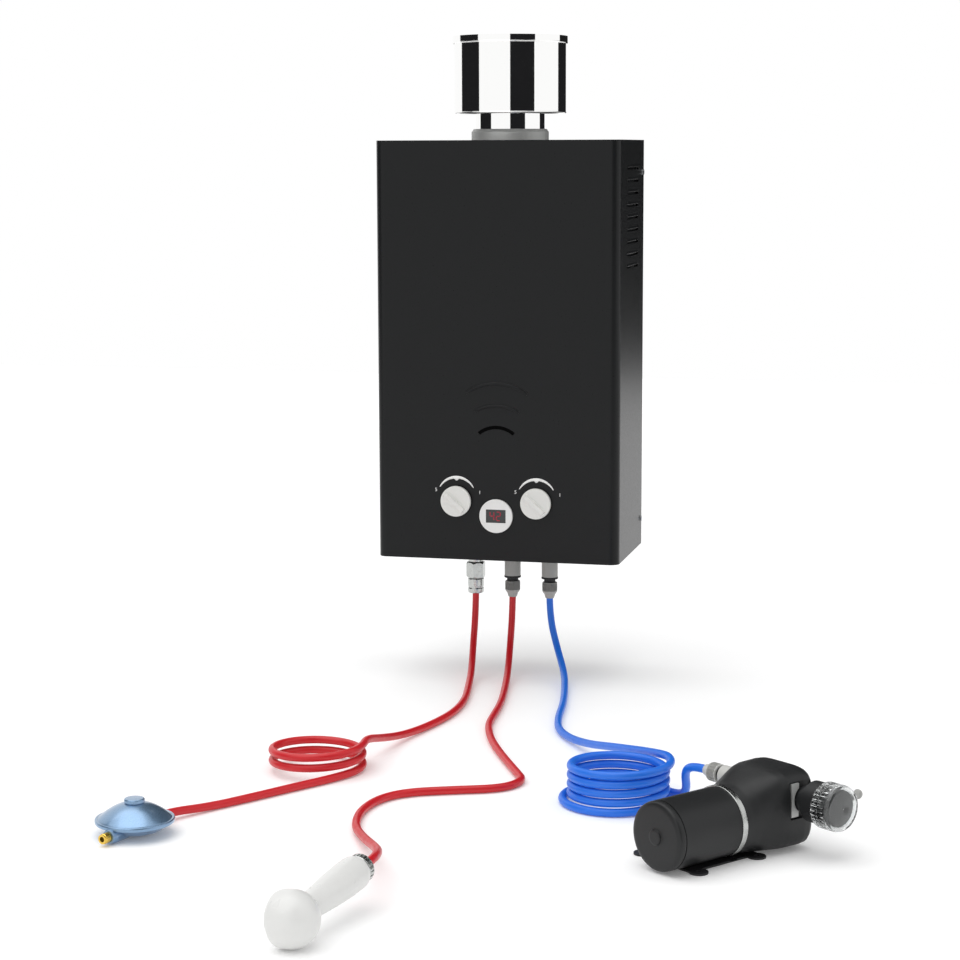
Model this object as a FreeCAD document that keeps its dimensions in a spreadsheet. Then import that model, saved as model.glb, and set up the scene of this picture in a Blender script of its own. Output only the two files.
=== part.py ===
# Portable gas water heater with its flue cap, gas hose and regulator, shower hose
# and hand shower, and cold water hose with a pump and a strainer.
# Frame: X to the right of a person facing the heater, Y into the wall, Z up.
# Origin: the middle of the hanging hole, on the rear face of the back plate.
# All sizes are millimetres.
import FreeCAD, Part
import math
import os
import re
from FreeCAD import Placement, Rotation, Vector

os.makedirs("parts", exist_ok=True)
doc = FreeCAD.newDocument("water_heater")

# Driving dimensions
SIZES = {
    "case_width": 290, "case_height": 490, "case_depth": 160, "case_top": 28,
    "skin": 1, "plate": 1.5, "edge_round": 11, "hole_radius": 4,
    "floor_drop": 612, "port_depth": 75, "gas_port": -46, "hot_port": 0, "cold_port": 46,
    "flue_depth": 85, "neck_radius": 40.5, "drum_radius": 65.5, "lid_radius": 67.5,
    "knob_radius": 18, "knob_spacing": 96, "knob_drop": 392, "spindle_radius": 4,
    "dial_drop": 408.5, "dial_radius": 19.7,
    "louvre_count": 9, "louvre_pitch": 14.3, "louvre_height": 3, "louvre_first": 5,
    "slot_radius": 33, "low_arc_radius": 51.8, "high_arc_radius": 61.8,
    "chamber_half": 110, "chamber_front": 135, "chamber_back": 35,
    "pipe_radius": 6, "exchanger_radius": 7,
    "hose_radius": 4.1, "coil_radius": 46.6,
    "blue_pitch": 8.9, "red_pitch": 10.8,
    "coupling_radius": 9.75, "seal_radius": 6.8, "nut_radius": 9.1,
    "motor_radius": 31.5, "motor_length": 76, "head_half": 37, "head_end": 163,
    "port_along": 150, "port_height": 15.5, "pump_height": 33.5,
    "regulator_radius": 36.8, "handle_radius": 15, "shower_radius": 24,
}
sheet = doc.addObject("Spreadsheet::Sheet", "sizes")
for row, (alias, number) in enumerate(SIZES.items(), start=1):
    sheet.set("A%d" % row, alias)
    sheet.set("B%d" % row, str(number))
    sheet.setAlias("B%d" % row, alias)
doc.recompute()


def size(alias):
    """The number that the sheet holds under an alias."""
    return float(sheet.get(alias))


def bind(item, prop, formula):
    """Tie a property to a formula written with the sheet's aliases."""
    def cell(match):
        word = match.group(0)
        return "sizes." + word if word in SIZES else word
    item.setExpression(prop, re.sub(r"[a-z_]+", cell, str(formula)))


def move(item, point):
    """Put an item's own origin at a point given as three formulas."""
    for axis, formula in zip("xyz", point):
        bind(item, "Placement.Base." + axis, formula)
    return item


def block(name, low, high):
    """A box between two corners, each of three formulas."""
    item = doc.addObject("Part::Box", name)
    for prop, a, b in zip(("Length", "Width", "Height"), low, high):
        bind(item, prop, "(%s) - (%s)" % (b, a))
    return move(item, low)


AXES = {"x": Vector(1, 0, 0), "y": Vector(0, 1, 0), "z": Vector(0, 0, 1)}


def rod(name, radius, length, at, axis="z"):
    """A cylinder that starts at a point and runs along an axis."""
    item = doc.addObject("Part::Cylinder", name)
    item.Placement = Placement(Vector(), Rotation(AXES["z"], AXES[axis]))
    bind(item, "Radius", radius)
    bind(item, "Height", length)
    return move(item, at)


def joined(name, items):
    """One solid made of touching items."""
    item = doc.addObject("Part::MultiFuse", name)
    item.Shapes = items
    return item


def less(name, base, tools):
    """A base with tools cut out of it."""
    item = doc.addObject("Part::Cut", name)
    item.Base = base
    item.Tool = tools[0] if len(tools) == 1 else joined(name + "_tools", tools)
    return item


def group(name, items):
    """Separate solids that share one node."""
    item = doc.addObject("Part::Compound", name)
    item.Links = items
    return item


def free(name, shape, place=None):
    """A shape that the features above can't make, carried along by a placement."""
    item = doc.addObject("Part::Feature", name)
    item.Shape = shape
    if place:
        item.Placement = place.multiply(shape.Placement)
    return item


def lathe(points, at=Vector(), axis=Vector(0, 0, 1)):
    """A solid of revolution: points are (radius, distance along the axis)."""
    corners = [Vector(r, 0, h) for r, h in points]
    face = Part.Face(Part.makePolygon(corners + [corners[0]]))
    solid = face.revolve(Vector(), Vector(0, 0, 1), 360)
    solid.Placement = Placement(at, Rotation(Vector(0, 0, 1), axis))
    return solid


def round_section(along, half, low, high, corner):
    """A rounded rectangle across X, half wide each side, from low to high."""
    wide, tall = half - corner, (high - low) / 2 - corner
    middle = (high + low) / 2
    edges = []
    spots = [(wide, tall, 0), (-wide, tall, 90), (-wide, -tall, 180), (wide, -tall, 270)]
    for number, (y, z, start) in enumerate(spots):
        arc = [Vector(along, y + corner * math.cos(math.radians(start + turn)),
                      middle + z + corner * math.sin(math.radians(start + turn)))
               for turn in (0, 45, 90)]
        edges.append(Part.Arc(*arc).toShape())
        next_y, next_z, next_start = spots[(number + 1) % 4]
        end = Vector(along, next_y + corner * math.cos(math.radians(next_start)),
                     middle + next_z + corner * math.sin(math.radians(next_start)))
        edges.append(Part.LineSegment(arc[2], end).toShape())
    return Part.Wire(edges)


# Case
HALF = "case_width / 2"
BOTTOM = "case_top - case_height"


def rounded_box(name, low, high, radius):
    """A box whose two front upright edges are rounded."""
    item = doc.addObject("Part::Fillet", name)
    item.Base = block(name + "_block", low, high)
    doc.recompute()
    number = [i for i, edge in enumerate(item.Base.Shape.Edges, start=1)
              if abs(edge.tangentAt(edge.FirstParameter).z) > 0.9
              and edge.Vertexes[0].Y < -size("case_depth") / 2]
    item.Edges = [(i, radius, radius) for i in number]
    return item


def arc_strip(name, radius, half_chord, thick, top, back, front):
    """A strip bent along an arc in the front face, its crown at a height."""
    half_turn = math.asin(half_chord / radius)
    shapes = []
    for r, way in ((radius + thick / 2, 1), (radius - thick / 2, -1)):
        spots = [Vector(r * math.sin(a * half_turn), back,
                        top - radius + r * math.cos(a * half_turn)) for a in (-way, 0, way)]
        shapes.append(Part.Arc(*spots).toShape())
    ends = [Part.LineSegment(shapes[0].Vertexes[1].Point, shapes[1].Vertexes[0].Point).toShape(),
            Part.LineSegment(shapes[1].Vertexes[1].Point, shapes[0].Vertexes[0].Point).toShape()]
    face = Part.Face(Part.Wire([shapes[0], ends[0], shapes[1], ends[1]]))
    return free(name, face.extrude(Vector(0, front - back, 0)))


front = -size("case_depth")
shell = less(
    "cover_shell",
    rounded_box("cover_outside", ("-" + HALF, "-case_depth", BOTTOM), (HALF, 0, "case_top"),
                size("edge_round")),
    [rounded_box("cover_inside", ("skin - " + HALF, "skin - case_depth", BOTTOM + " + skin"),
                 (HALF + " - skin", 5, "case_top - skin"), size("edge_round") - size("skin"))])
louvres = []
for side in (-1, 1):
    for step in range(int(size("louvre_count"))):
        height = "-louvre_first - %d * louvre_pitch" % step
        near, far = sorted((side * 140, side * 150))
        louvres.append(block("louvre_%d_%d" % (side + 1, step),
                             (near, -110, height + " - louvre_height / 2"),
                             (far, -38, height + " + louvre_height / 2")))
knob_holes = [rod("knob_hole_%d" % (side + 1), "spindle_radius + 2", 10,
                  ("%d * knob_spacing / 2" % side, "-case_depth - 5", "-knob_drop"), "y")
              for side in (-1, 1)]
floor_holes = [rod("floor_hole_" + name, radius, 10, (name + "_port", "-port_depth", BOTTOM + " - 5"))
               for name, radius in (("gas", 8.5), ("hot", 10.5), ("cold", 10.5))]
embossed = [arc_strip("high_arc", size("high_arc_radius"), 37, 3.4, -252.5, front + 0.5, front - 0.7),
            arc_strip("low_arc", size("low_arc_radius"), 27, 3, -278.5, front + 0.5, front - 0.7)]
front_cover = less("front_cover", joined("cover_with_arcs", [shell] + embossed), louvres + knob_holes
                   + floor_holes + [
    rod("flue_hole", "neck_radius + 0.4", 10, (0, "-flue_depth", "case_top - 5")),
    rod("dial_hole", 17.2, 10, (0, "-case_depth - 5", "-dial_drop"), "y"),
    arc_strip("sight_slot", size("slot_radius"), 21, 4.2, -304, front + 5, front - 5),
    block("battery_opening", (69.5, -74.6, BOTTOM + " - 5"), (140.5, -34.5, BOTTOM + " + 5"))])

back_plate = less(
    "back_plate",
    block("back_sheet", ("skin + 0.3 - " + HALF, "-plate", BOTTOM + " + skin + 0.3"),
          (HALF + " - skin - 0.3", 0, "case_top - skin - 0.3")),
    [rod("hanging_hole", "hole_radius", 10, (0, -5, 0), "y"),
     rod("screw_hole_left", 2.6, 10, (-60, -5, -435), "y"),
     rod("screw_hole_right", 2.6, 10, (60, -5, -435), "y")])
sight_glass = block("sight_glass", (-28, front + 1.1, -317), (28, front + 2.9, -297))
casing_screws = group("casing_screws", [
    rod("screw_%d" % n, 3.2, 1.6, (x, -8, z), "x")
    for n, (x, z) in enumerate([("-%s - 1.6" % HALF, -10), ("-%s - 1.6" % HALF, -430),
                                (HALF, -10), (HALF, -430)])])

# Flue and rain cap
flue_collar = free("flue_collar", lathe(
    [(40.9, 0), (45.5, 0), (45.5, 9.5), (43, 13), (40.9, 13)],
    Vector(0, -size("flue_depth"), size("case_top") + 0.02)))


def tube(name, radius, wall, low, high, depth="-flue_depth"):
    """An upright thin tube round the flue's axis."""
    length = "(%s) - (%s)" % (high, low)
    return less(name, rod(name + "_out", radius, length, (0, depth, low)),
                [rod(name + "_in", "%s - %s" % (radius, wall), length + " + 2",
                     (0, depth, "(%s) - 1" % low))])


cap_drum = tube("cap_drum", "drum_radius", 0.8, 59.5, 146.9)
cap_lid = joined("cap_lid", [rod("lid_top", "lid_radius", 1.1, (0, "-flue_depth", 147)),
                             tube("lid_rim", "lid_radius", 1.6, 140, 147.5)])
legs = []
for turn in (30, 150, 270):
    leg = Part.makeBox(24.2, 2, 14, Vector(40.2, -1, 100))
    leg.rotate(Vector(), Vector(0, 0, 1), turn)
    legs.append(free("cap_leg_%d" % turn, leg, Placement(Vector(0, -size("flue_depth"), 0), Rotation())))
cap_neck = joined("cap_neck", [tube("neck_tube", "neck_radius", 0.8, 6, 120)] + legs)

# Combustion chamber
WALL_X, NEAR, FAR = "chamber_half", "-chamber_front", "-chamber_back"


def chamber(name, low, high, wall):
    """A four-walled shaft, open above and below."""
    return less(name, block(name + "_out", ("-" + WALL_X, NEAR, low), (WALL_X, FAR, high)),
                [block(name + "_in", ("%s - %s" % (wall, WALL_X), "%s + %s" % (NEAR, wall), low - 1),
                       ("%s - %s" % (WALL_X, wall), "%s - %s" % (FAR, wall), high + 1))])


hood_roof = less("hood_roof", block("hood_sheet", ("-" + WALL_X, NEAR, -11), (WALL_X, FAR, -10)),
                 [rod("hood_hole", 38.2, 10, (0, "-flue_depth", -15))])
fume_hood = joined("fume_hood", [chamber("hood_walls", -61.9, -10.5, 0.8), hood_roof,
                                 tube("hood_spigot", "39", 0.8, -10.5, 24)])
fins = [block("fin_%d" % n, (-97 + n * 15, "%s + 0.5" % NEAR, -112), (-96.2 + n * 15, "%s - 0.5" % FAR, -74))
        for n in range(14)]


def rounded_path(points, largest=None):
    """Straight runs joined by tangent arcs. Returns the wire and the smallest radius."""
    spots = [Vector(*p) for p in points]
    edges, start, least = [], spots[0], 1e9
    for before, corner, after in zip(spots, spots[1:], spots[2:]):
        run_in, run_out = before - corner, after - corner
        half_turn = (math.pi - run_in.getAngle(run_out)) / 2
        reach = 0.45 * min(run_in.Length, run_out.Length)
        radius = reach / math.tan(half_turn)
        if largest and radius > largest:
            radius = largest
            reach = radius * math.tan(half_turn)
        least = min(least, radius)
        arc_start = corner + run_in.normalize() * reach
        arc_end = corner + run_out.normalize() * reach
        chord = (arc_start + arc_end) / 2
        crown = chord + (corner - chord) * (math.cos(half_turn) / (1 + math.cos(half_turn)))
        edges.append(Part.LineSegment(start, arc_start).toShape())
        edges.append(Part.Arc(arc_start, crown, arc_end).toShape())
        start = arc_end
    edges.append(Part.LineSegment(start, spots[-1]).toShape())
    return Part.Wire(edges), least


def swept(wire, radius):
    """A round tube along a wire."""
    start = wire.Edges[0]
    ring = Part.Wire(Part.makeCircle(radius, start.valueAt(start.FirstParameter),
                                     start.tangentAt(start.FirstParameter)))
    return wire.makePipeShell([ring], True, False)


def pipe(name, points, radius, bend):
    """A bent metal pipe."""
    return free(name, swept(rounded_path(points, bend)[0], radius))


exchanger_path = [(-119, -115, -93), (132, -115, -93), (132, -85, -93), (-132, -85, -93),
                  (-132, -55, -93), (119, -55, -93)]
exchanger_pipe = pipe("exchanger_pipe", exchanger_path, size("exchanger_radius"), 14.5)
heat_exchanger = less("heat_exchanger", joined("exchanger_block", [chamber("exchanger_walls", -190, -62, 1)]
                                               + fins),
                      [pipe("pipe_way", exchanger_path, size("exchanger_radius") + 0.1, 14.5)])
cold_pipe = pipe("cold_pipe", [(50, -75, -366.5), (50, -75, -335), (134, -62, -335), (134, -55, -93),
                               (119.1, -55, -93)], size("pipe_radius"), 12)
hot_pipe = pipe("hot_pipe", [(-119.1, -115, -93), (-134, -115, -93), (-134, -118, -440), (0, -118, -440),
                             (0, -75, -440), (0, -75, -460.9)], size("pipe_radius"), 12)

# Burner and gas train
bars = [block("bar_%d" % n, (-97 + n * 20, -128, -262), (-85 + n * 20, -40, -238)) for n in range(10)]
burner_rack = joined("burner_rack", bars + [block("rail_front", (-105, -129.5, -262), (105, -126, -246)),
                                            block("rail_back", (-105, -42, -262), (105, -38.5, -246))])
gas_manifold = joined("gas_manifold", [block("manifold_bar", (-100, -144, -262), (100, -130, -250)),
                                       block("manifold_riser", (-52, -144, -345), (-40, -132, -255))])
igniter_electrodes = group("igniter_electrodes", [
    rod("electrode_%d" % n, 2, 46, (x, -136.5, -249.8)) for n, x in enumerate((-10, 0, 10))])
gas_valve = less("gas_valve", joined("gas_valve_body", [
    block("valve_block", (-66, -110, -440), (-26, -45, -384)),
    block("valve_outlet", (-52, -144, -384.5), (-40, -90, -372)),
    block("valve_riser", (-52, -144, -384.5), (-40, -132, -345.1)),
    rod("gas_stub", 7, 40, ("gas_port", "-port_depth", -479.5))]),
    [rod("gas_spindle_bore", "spindle_radius + 0.05", 16, ("-knob_spacing / 2", -111, "-knob_drop"), "y"),
     rod("gas_rod_bore", 2.65, 12, (-37, "-port_depth", -400), "x")])
gas_solenoid = rod("gas_solenoid", 11, 26, (-92.1, "-port_depth", -412), "x")
water_valve = less("water_valve", joined("water_valve_body", [
    rod("diaphragm_case", 32, 22, (28, "-port_depth", -400), "x"),
    rod("valve_hub", 14, 44, (20, "-port_depth", -400), "x"),
    rod("water_stub", 9, 60, ("cold_port", "-port_depth", -460.9)),
    block("water_valve_nose", (40, -116, -400), (56, -90, -384))]),
    [rod("water_spindle_bore", "spindle_radius + 0.05", 16, ("knob_spacing / 2", -117, "-knob_drop"), "y"),
     rod("water_rod_bore", 2.65, 14, (19, "-port_depth", -400), "x")])
valve_push_rod = rod("valve_push_rod", 2.6, 54, (-29, "-port_depth", -400), "x")
micro_switch = block("micro_switch", (20, -84, -384), (27.8, -66, -368))
igniter_box = block("igniter_box", (62, -41.5, -335), (118, -1.6, -275))

# Battery compartment
battery_box = less("battery_box", block("battery_out", (70, -75, -458), (140, -38, -384)),
                   [block("battery_in", (71.5, -73.5, -460), (138.5, -39.5, -385.5))])
batteries = group("batteries", [rod("battery_%d" % n, 16.3, 61.5, (x, -56.5, -457.5))
                                for n, x in enumerate((88.3, 121.7))])
battery_door = joined("battery_door", [block("door_leaf", (70.2, -74, BOTTOM), (139.8, -37, BOTTOM + " + 2.2")),
                                       rod("door_barrel", 1.6, 60, (75, -36.7, BOTTOM + " + 1.6"), "x")])

# Controls
SIDES = {"gas": "-knob_spacing / 2", "water": "knob_spacing / 2"}
knobs = {}
for name, x in SIDES.items():
    disc = rod(name + "_disc", "knob_radius", 5.5, (x, "-case_depth - 7", "-knob_drop"), "y")
    grip = Part.makeBox(31.2, 4, 6.9, Vector(-15.6, -4, -5.4))
    grip.rotate(Vector(), Vector(0, 1, 0), 42)
    bar = free(name + "_grip", grip)
    move(bar, (x, "-case_depth - 6.9", "-knob_drop"))
    knobs[name] = less(name + "_knob", joined(name + "_knob_body", [disc, bar]), [
        rod(name + "_socket", "spindle_radius + 0.02", 12, (x, "-case_depth - 5.5", "-knob_drop"), "y")])
    knobs[name + "_spindle"] = rod(name + "_spindle", "spindle_radius", 63.5,
                                   (x, "-case_depth - 5.4", "-knob_drop"), "y")
display_bezel = less("display_bezel", joined("bezel_body", [
    rod("bezel_disc", "dial_radius", 3.5, (0, "-case_depth - 3.5", "-dial_drop"), "y"),
    rod("bezel_boss", 17, 8, (0, "-case_depth - 0.2", "-dial_drop"), "y")]),
    [block("bezel_window", (-11.9, -165, "-dial_drop - 7.9"), (11.9, -153, "-dial_drop + 7.9"))])
display_module = block("display_module", (-11.7, front - 2.9, "-dial_drop - 7.7"),
                       (11.7, front + 7, "-dial_drop + 7.7"))

# Couplings under the case
water_couplings = group("water_couplings", [
    rod("coupling_" + name, "coupling_radius", 35.9, (name + "_port", "-port_depth", -496.9))
    for name in ("hot", "cold")])
hex_nut = Part.Face(Part.makePolygon([Vector(12.1 * math.cos(math.radians(60 * n)),
                                             12.1 * math.sin(math.radians(60 * n)), 0)
                                      for n in range(7)])).extrude(Vector(0, 0, 19))
hex_nut = hex_nut.cut(Part.makeCylinder(7.02, 40, Vector(0, 0, -10)))
gas_hex_nut = free("gas_hex_nut", hex_nut,
                   Placement(Vector(size("gas_port"), -size("port_depth"), -498.5), Rotation()))
gas_hose_ferrule = free("gas_hose_ferrule", lathe(
    [(0, 0), (8.2, 0), (9.7, 1.5), (9.7, 18), (8.8, 19.4), (0, 19.4)],
    Vector(size("gas_port"), -size("port_depth"), -518)))

# Places of the things on the ends of the hoses
FLOOR = -size("floor_drop")
PUMP = Placement(Vector(300.4, -826.3, FLOOR + size("pump_height")), Rotation(Vector(0, 0, 1), 52.5))
REGULATOR = Placement(Vector(-190, -818, FLOOR), Rotation(Vector(0, 0, 1), -106))
SHOWER_NUT = Vector(74.5, -970, -578)
SHOWER_HEAD = Vector(50.4, -1078.7, FLOOR + size("shower_radius") + 0.3)
shower_way = (SHOWER_HEAD - SHOWER_NUT).normalize()
port_start = Vector(size("port_along"), size("head_half"), size("port_height"))


def nut_profile(length):
    """A hose nut with a waist at its seal and a tapered tail, along +Z from the seal."""
    radius = size("nut_radius")
    return [(0, 0), (radius, 0), (radius, length), (6.4, length), (5, length + 7.5), (0, length + 7.5)]


down = Vector(0, 0, -1)
across = Vector(0, 1, 0)
hot_face = Vector(size("hot_port"), -size("port_depth"), -496.92)
cold_face = Vector(size("cold_port"), -size("port_depth"), -496.92)
seal = [(0, 0), (size("seal_radius"), 0), (size("seal_radius"), 4), (0, 4)]
pump_seal = lathe(seal, port_start + across * 30.1, across)
pump_seal.Placement = PUMP.multiply(pump_seal.Placement)
coupling_seals = free("coupling_seals", Part.makeCompound([
    lathe(seal, hot_face, down), lathe(seal, cold_face, down), pump_seal]))
hose_nuts = free("hose_nuts", Part.makeCompound([
    lathe(nut_profile(12.3), hot_face + down * 4, down),
    lathe(nut_profile(12.3), cold_face + down * 4, down)]))
water_end = -496.92 - 4 - 12.3 - 7.5


# Hoses
def report_hose(name, points):
    """The free stretch of a hose, with its radii and volume printed."""
    wire, least = rounded_path(points)
    solid = swept(wire, size("hose_radius"))
    expected = wire.Length * math.pi * size("hose_radius") ** 2
    print(name, "length %.0f least radius %.1f volume ratio %.4f"
          % (wire.Length, least, solid.Volume / expected))
    return free(name, solid)


def biarc(start, start_way, end, end_way):
    """Two arcs that share a tangent, from one point and heading to another."""
    gap, ways = end - start, start_way + end_way
    bend = 2 * (1 - start_way.dot(end_way))
    reach = (-gap.dot(ways) + math.sqrt(gap.dot(ways) ** 2 + bend * gap.dot(gap))) / bend
    first, second = start + start_way * reach, end - end_way * reach
    middle = (first + second) / 2
    arcs = []
    for low, corner, high in ((start, first, middle), (middle, second, end)):
        chord = (low + high) / 2
        cosine = (high - low).Length / (2 * reach)
        arcs.append(Part.Arc(low, chord + (corner - chord) * (cosine / (1 + cosine)), high).toShape())
    return arcs


def coil_tube(name, spot, turns):
    """One unbroken tube along spot(t), t in turns, with a straight diameter at each end."""
    step, small = 0.25, 1e-5
    count = round(turns / step)
    marks = [turns * n / count for n in range(count + 1)]
    places = [spot(mark) for mark in marks]
    ways = [(spot(mark + small) - spot(mark - small)).normalize() for mark in marks]
    straight = 2 * size("hose_radius")
    edges = [Part.LineSegment(places[0] - ways[0] * straight, places[0]).toShape()]
    for n in range(count):
        edges += biarc(places[n], ways[n], places[n + 1], ways[n + 1])
    edges.append(Part.LineSegment(places[-1], places[-1] + ways[-1] * straight).toShape())
    wire = Part.Wire(edges)
    fine = [spot(turns * n / 400) for n in range(401)]
    per_turn = int(400 / turns)
    gap = min((a - b).Length for i, a in enumerate(fine) for b in fine[i + per_turn // 2:])
    print(name, "length %.0f gap %.2f" % (wire.Length, gap - 2 * size("hose_radius")))
    ends = (places[0] - ways[0] * straight, places[-1] + ways[-1] * straight)
    return free(name, swept(wire, size("hose_radius"))), ends


def smooth(value):
    """Eases from 0 to 1 with no corner at either end."""
    value = min(max(value, 0), 1)
    return value * value * (3 - 2 * value)


REST = FLOOR + size("hose_radius") + 0.1
RED_MIDDLE = Vector(-92.9, -565.1, 0)
BLUE_MIDDLE = Vector(229.2, -616.2, 0)
RED_TURNS, BLUE_TURNS = 2.1, 4.97
BLUE_FRONT = 0.361


def red_spot(t):
    """Clockwise from above and downwards, from the right-hand end of the top turn."""
    angle = math.radians(5 - 360 * t)
    radius = size("coil_radius")
    height = REST + 0.4 + size("red_pitch") * (RED_TURNS - t)
    return RED_MIDDLE + Vector(radius * math.cos(angle), radius * math.sin(angle), height)


def blue_spot(t):
    """Clockwise and downwards; the first and last turns spread."""
    angle = math.radians(40 - 360 * t)
    radius = (size("coil_radius") + 5.2 * (1 - smooth(t / BLUE_FRONT))
              + 9.9 * smooth((t - BLUE_FRONT - 3.85) / 0.5))
    height = REST + size("blue_pitch") * max(BLUE_FRONT + 4 - t, 0)
    return BLUE_MIDDLE + Vector(radius * math.cos(angle), radius * math.sin(angle), height)


gas_hose_coil, red_ends = coil_tube("gas_hose_coil", red_spot, RED_TURNS)
cold_hose_coil, blue_ends = coil_tube("cold_hose_coil", blue_spot, BLUE_TURNS)

GAS_DROP = [(-46, -75, -518.02), (-46.5, -75.5, -545), (-45.5, -92, -580), (-37, -135, -602),
            (-26, -195, -607.8), (-14, -262, -607.8), (-13, -325, -607.8), (-26, -388, -607.8),
            (-39.5, -438, -605), (-46, -488, -595.5), (-48.6, -537.1, -583.8)]
GAS_RUN = [(-70, -617.5, -607.7), (-92, -648, -607.8), (-120, -690, -607.8), (-148, -730, -607.8),
           (-176.2, -769.9, -604)]
SHOWER_RUN = [(0, -75, water_end), (-0.5, -75.5, -546), (0.5, -92, -580), (7, -132, -602),
              (17, -190, -607.8), (29, -262, -607.8), (34, -320, -607.8), (38, -362, -607.8),
              (52, -412, -607.8), (70, -457, -607.8), (92, -504, -607.8), (112, -545, -607.8),
              (125.4, -572.6, -607.8), (111.4, -604.8, -607.8), (64, -622, -607.8), (22, -640, -607.8),
              (2, -668, -607.8), (-4, -712, -607.8), (6, -762, -607.8), (28, -808, -603),
              (54, -858, -595), (71, -905, -583.5), (79.7, -946.7, -575.9)]
COLD_DROP = [(46, -75, water_end), (46.6, -75.3, -546), (58, -89, -578), (76, -130, -601),
             (88, -188, -607.8), (99, -250, -607.8), (106, -312, -607.8), (117, -365, -607.8),
             (140, -408, -606), (170, -452, -599), (203, -497, -588)]
COLD_RUN = [(282.7, -586.9, -607.8), (294.7, -603.6, -599.5), (295.3, -626.7, -571.8), (306.4, -641.9, -563)]
regulator_end = REGULATOR.multVec(Vector(-34, 0, 8))
shower_end = SHOWER_NUT - shower_way * 6
pump_end = PUMP.multVec(port_start + across * 53.9)
blue_entry = blue_ends[0] + (blue_ends[0] - blue_spot(0)).normalize() * 36
gas_hose_drop = report_hose("gas_hose_drop", GAS_DROP + [red_ends[0]])
gas_hose_run = report_hose("gas_hose_run", [red_ends[1]] + GAS_RUN + [regulator_end])
shower_hose = report_hose("shower_hose", SHOWER_RUN + [shower_end])
cold_hose_drop = report_hose("cold_hose_drop", COLD_DROP + [blue_entry, blue_ends[0]])
cold_hose_run = report_hose("cold_hose_run", [blue_ends[1]] + COLD_RUN + [pump_end])

# Gas regulator: X runs from the hose to the inlet, the origin is on the floor under the cap
ALONG = Vector(1, 0, 0)
rim = size("regulator_radius")
hull = lathe([(0, 0), (5.5, 0), (7.6, 6), (7.6, 68), (6.2, 74), (0, 74)], Vector(-34.1, 0, 7.6), ALONG)
hull = hull.cut(lathe([(0, 0), (size("hose_radius") + 0.02, 0), (size("hose_radius") + 0.02, 3),
                       (0, 3)], Vector(-36.9, 0, 8), ALONG))
bowl = lathe([(0, 2), (16, 2), (26, 6), (33, 12), (rim, 12.5), (rim, 15.5), (0, 15.5)])
regulator_body = free("regulator_body", bowl.fuse(hull), REGULATOR)
regulator_dome = free("regulator_dome", lathe(
    [(0, 15.52), (rim - 2.3, 15.52), (rim - 2.3, 16.5), (rim - 6, 19.5), (24, 25), (14, 29), (9.2, 30.3),
     (0, 30.3)]), REGULATOR)
regulator_cap = free("regulator_cap", lathe(
    [(0, 30.32), (9.2, 30.32), (9.2, 34), (8.2, 34.8), (0, 34.8)]), REGULATOR)
regulator_inlet_nut = free("regulator_inlet_nut", lathe(
    [(2.5, 0), (4.9, 0), (4.9, 6), (4.4, 7), (4.4, 8), (2.5, 8)], Vector(40.3, 0, 7.6), ALONG), REGULATOR)

# Hand shower: Z runs from the hose nut to the head
SHOWER = Placement(SHOWER_NUT, Rotation(Vector(0, 0, 1), shower_way))
reach = (SHOWER_HEAD - SHOWER_NUT).Length
handle = lathe([(0, 6), (size("handle_radius") - 1.2, 6), (size("handle_radius"), 8),
                (size("handle_radius"), 34), (12.6, 60), (11.4, 80), (12, reach - 4), (0, reach - 4)])
handle.Placement = SHOWER.multiply(handle.Placement)
face_way = Vector(-0.97, 0.2, -0.12).normalize()
ball = size("shower_radius")
head = lathe([(0, -0.95 * ball), (0.34 * ball, -0.9 * ball), (0.64 * ball, -0.74 * ball),
              (0.87 * ball, -0.44 * ball), (ball, 0), (ball, 0.3 * ball), (0.94 * ball, 0.52 * ball),
              (0.8 * ball, 0.62 * ball), (0, 0.62 * ball)], SHOWER_HEAD, face_way)
shower_handle = free("shower_handle", handle.fuse(head))
shower_face = free("shower_face", lathe(
    [(0, 0), (0.72 * ball, 0), (0.7 * ball, 2), (0.5 * ball, 3), (0, 3.4)],
    SHOWER_HEAD + face_way * (0.62 * ball + 0.02), face_way))
shower_nut = free("shower_nut", lathe(
    [(0, -6), (6.5, -6), (8.5, -4), (12.6, -2), (12.6, 5.98), (0, 5.98)]), SHOWER)

# Pump: X runs from the motor to the head, the ports lie along Y
CORE = size("motor_radius")
pump_end_cap = free("pump_end_cap", lathe(
    [(0, -2), (6.5, -2), (7, -1.5), (7, 0), (CORE - 3, 0), (CORE - 0.8, 1), (CORE, 3.5), (CORE, 8),
     (0, 8)], Vector(), ALONG), PUMP)
pump_motor = free("pump_motor", lathe(
    [(0, 8.02), (CORE, 8.02), (CORE, size("motor_length")), (0, size("motor_length"))], Vector(), ALONG), PUMP)
band_end = size("motor_length") + 6
pump_band = free("pump_band", lathe(
    [(0, band_end - 5.98), (CORE + 1, band_end - 5.98), (CORE + 1, band_end), (0, band_end)],
    Vector(), ALONG), PUMP)
side = size("head_half")
SECTIONS = [(band_end + 0.02, CORE, -CORE, CORE, CORE - 1), (96, 32.5, -CORE, 34, 28),
            (112, 35, -CORE, 38.5, 21), (128, side, -CORE, 42, 13), (157, side, -CORE, 42, 13),
            (size("head_end"), side - 4, 4 - CORE, 38, 10)]
sections = [round_section(*row) for row in SECTIONS]
pump_head = Part.makeLoft(sections, True, True)
port_x, port_z = size("port_along"), size("port_height")
for way in (-1, 1):
    pump_head = pump_head.cut(Part.makeBox(30, 5, 34, Vector(port_x - 19, side - 4 if way > 0 else -side - 1,
                                                             port_z - 17)))
pump_head = free("pump_head", pump_head, PUMP)
clips = []
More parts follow.
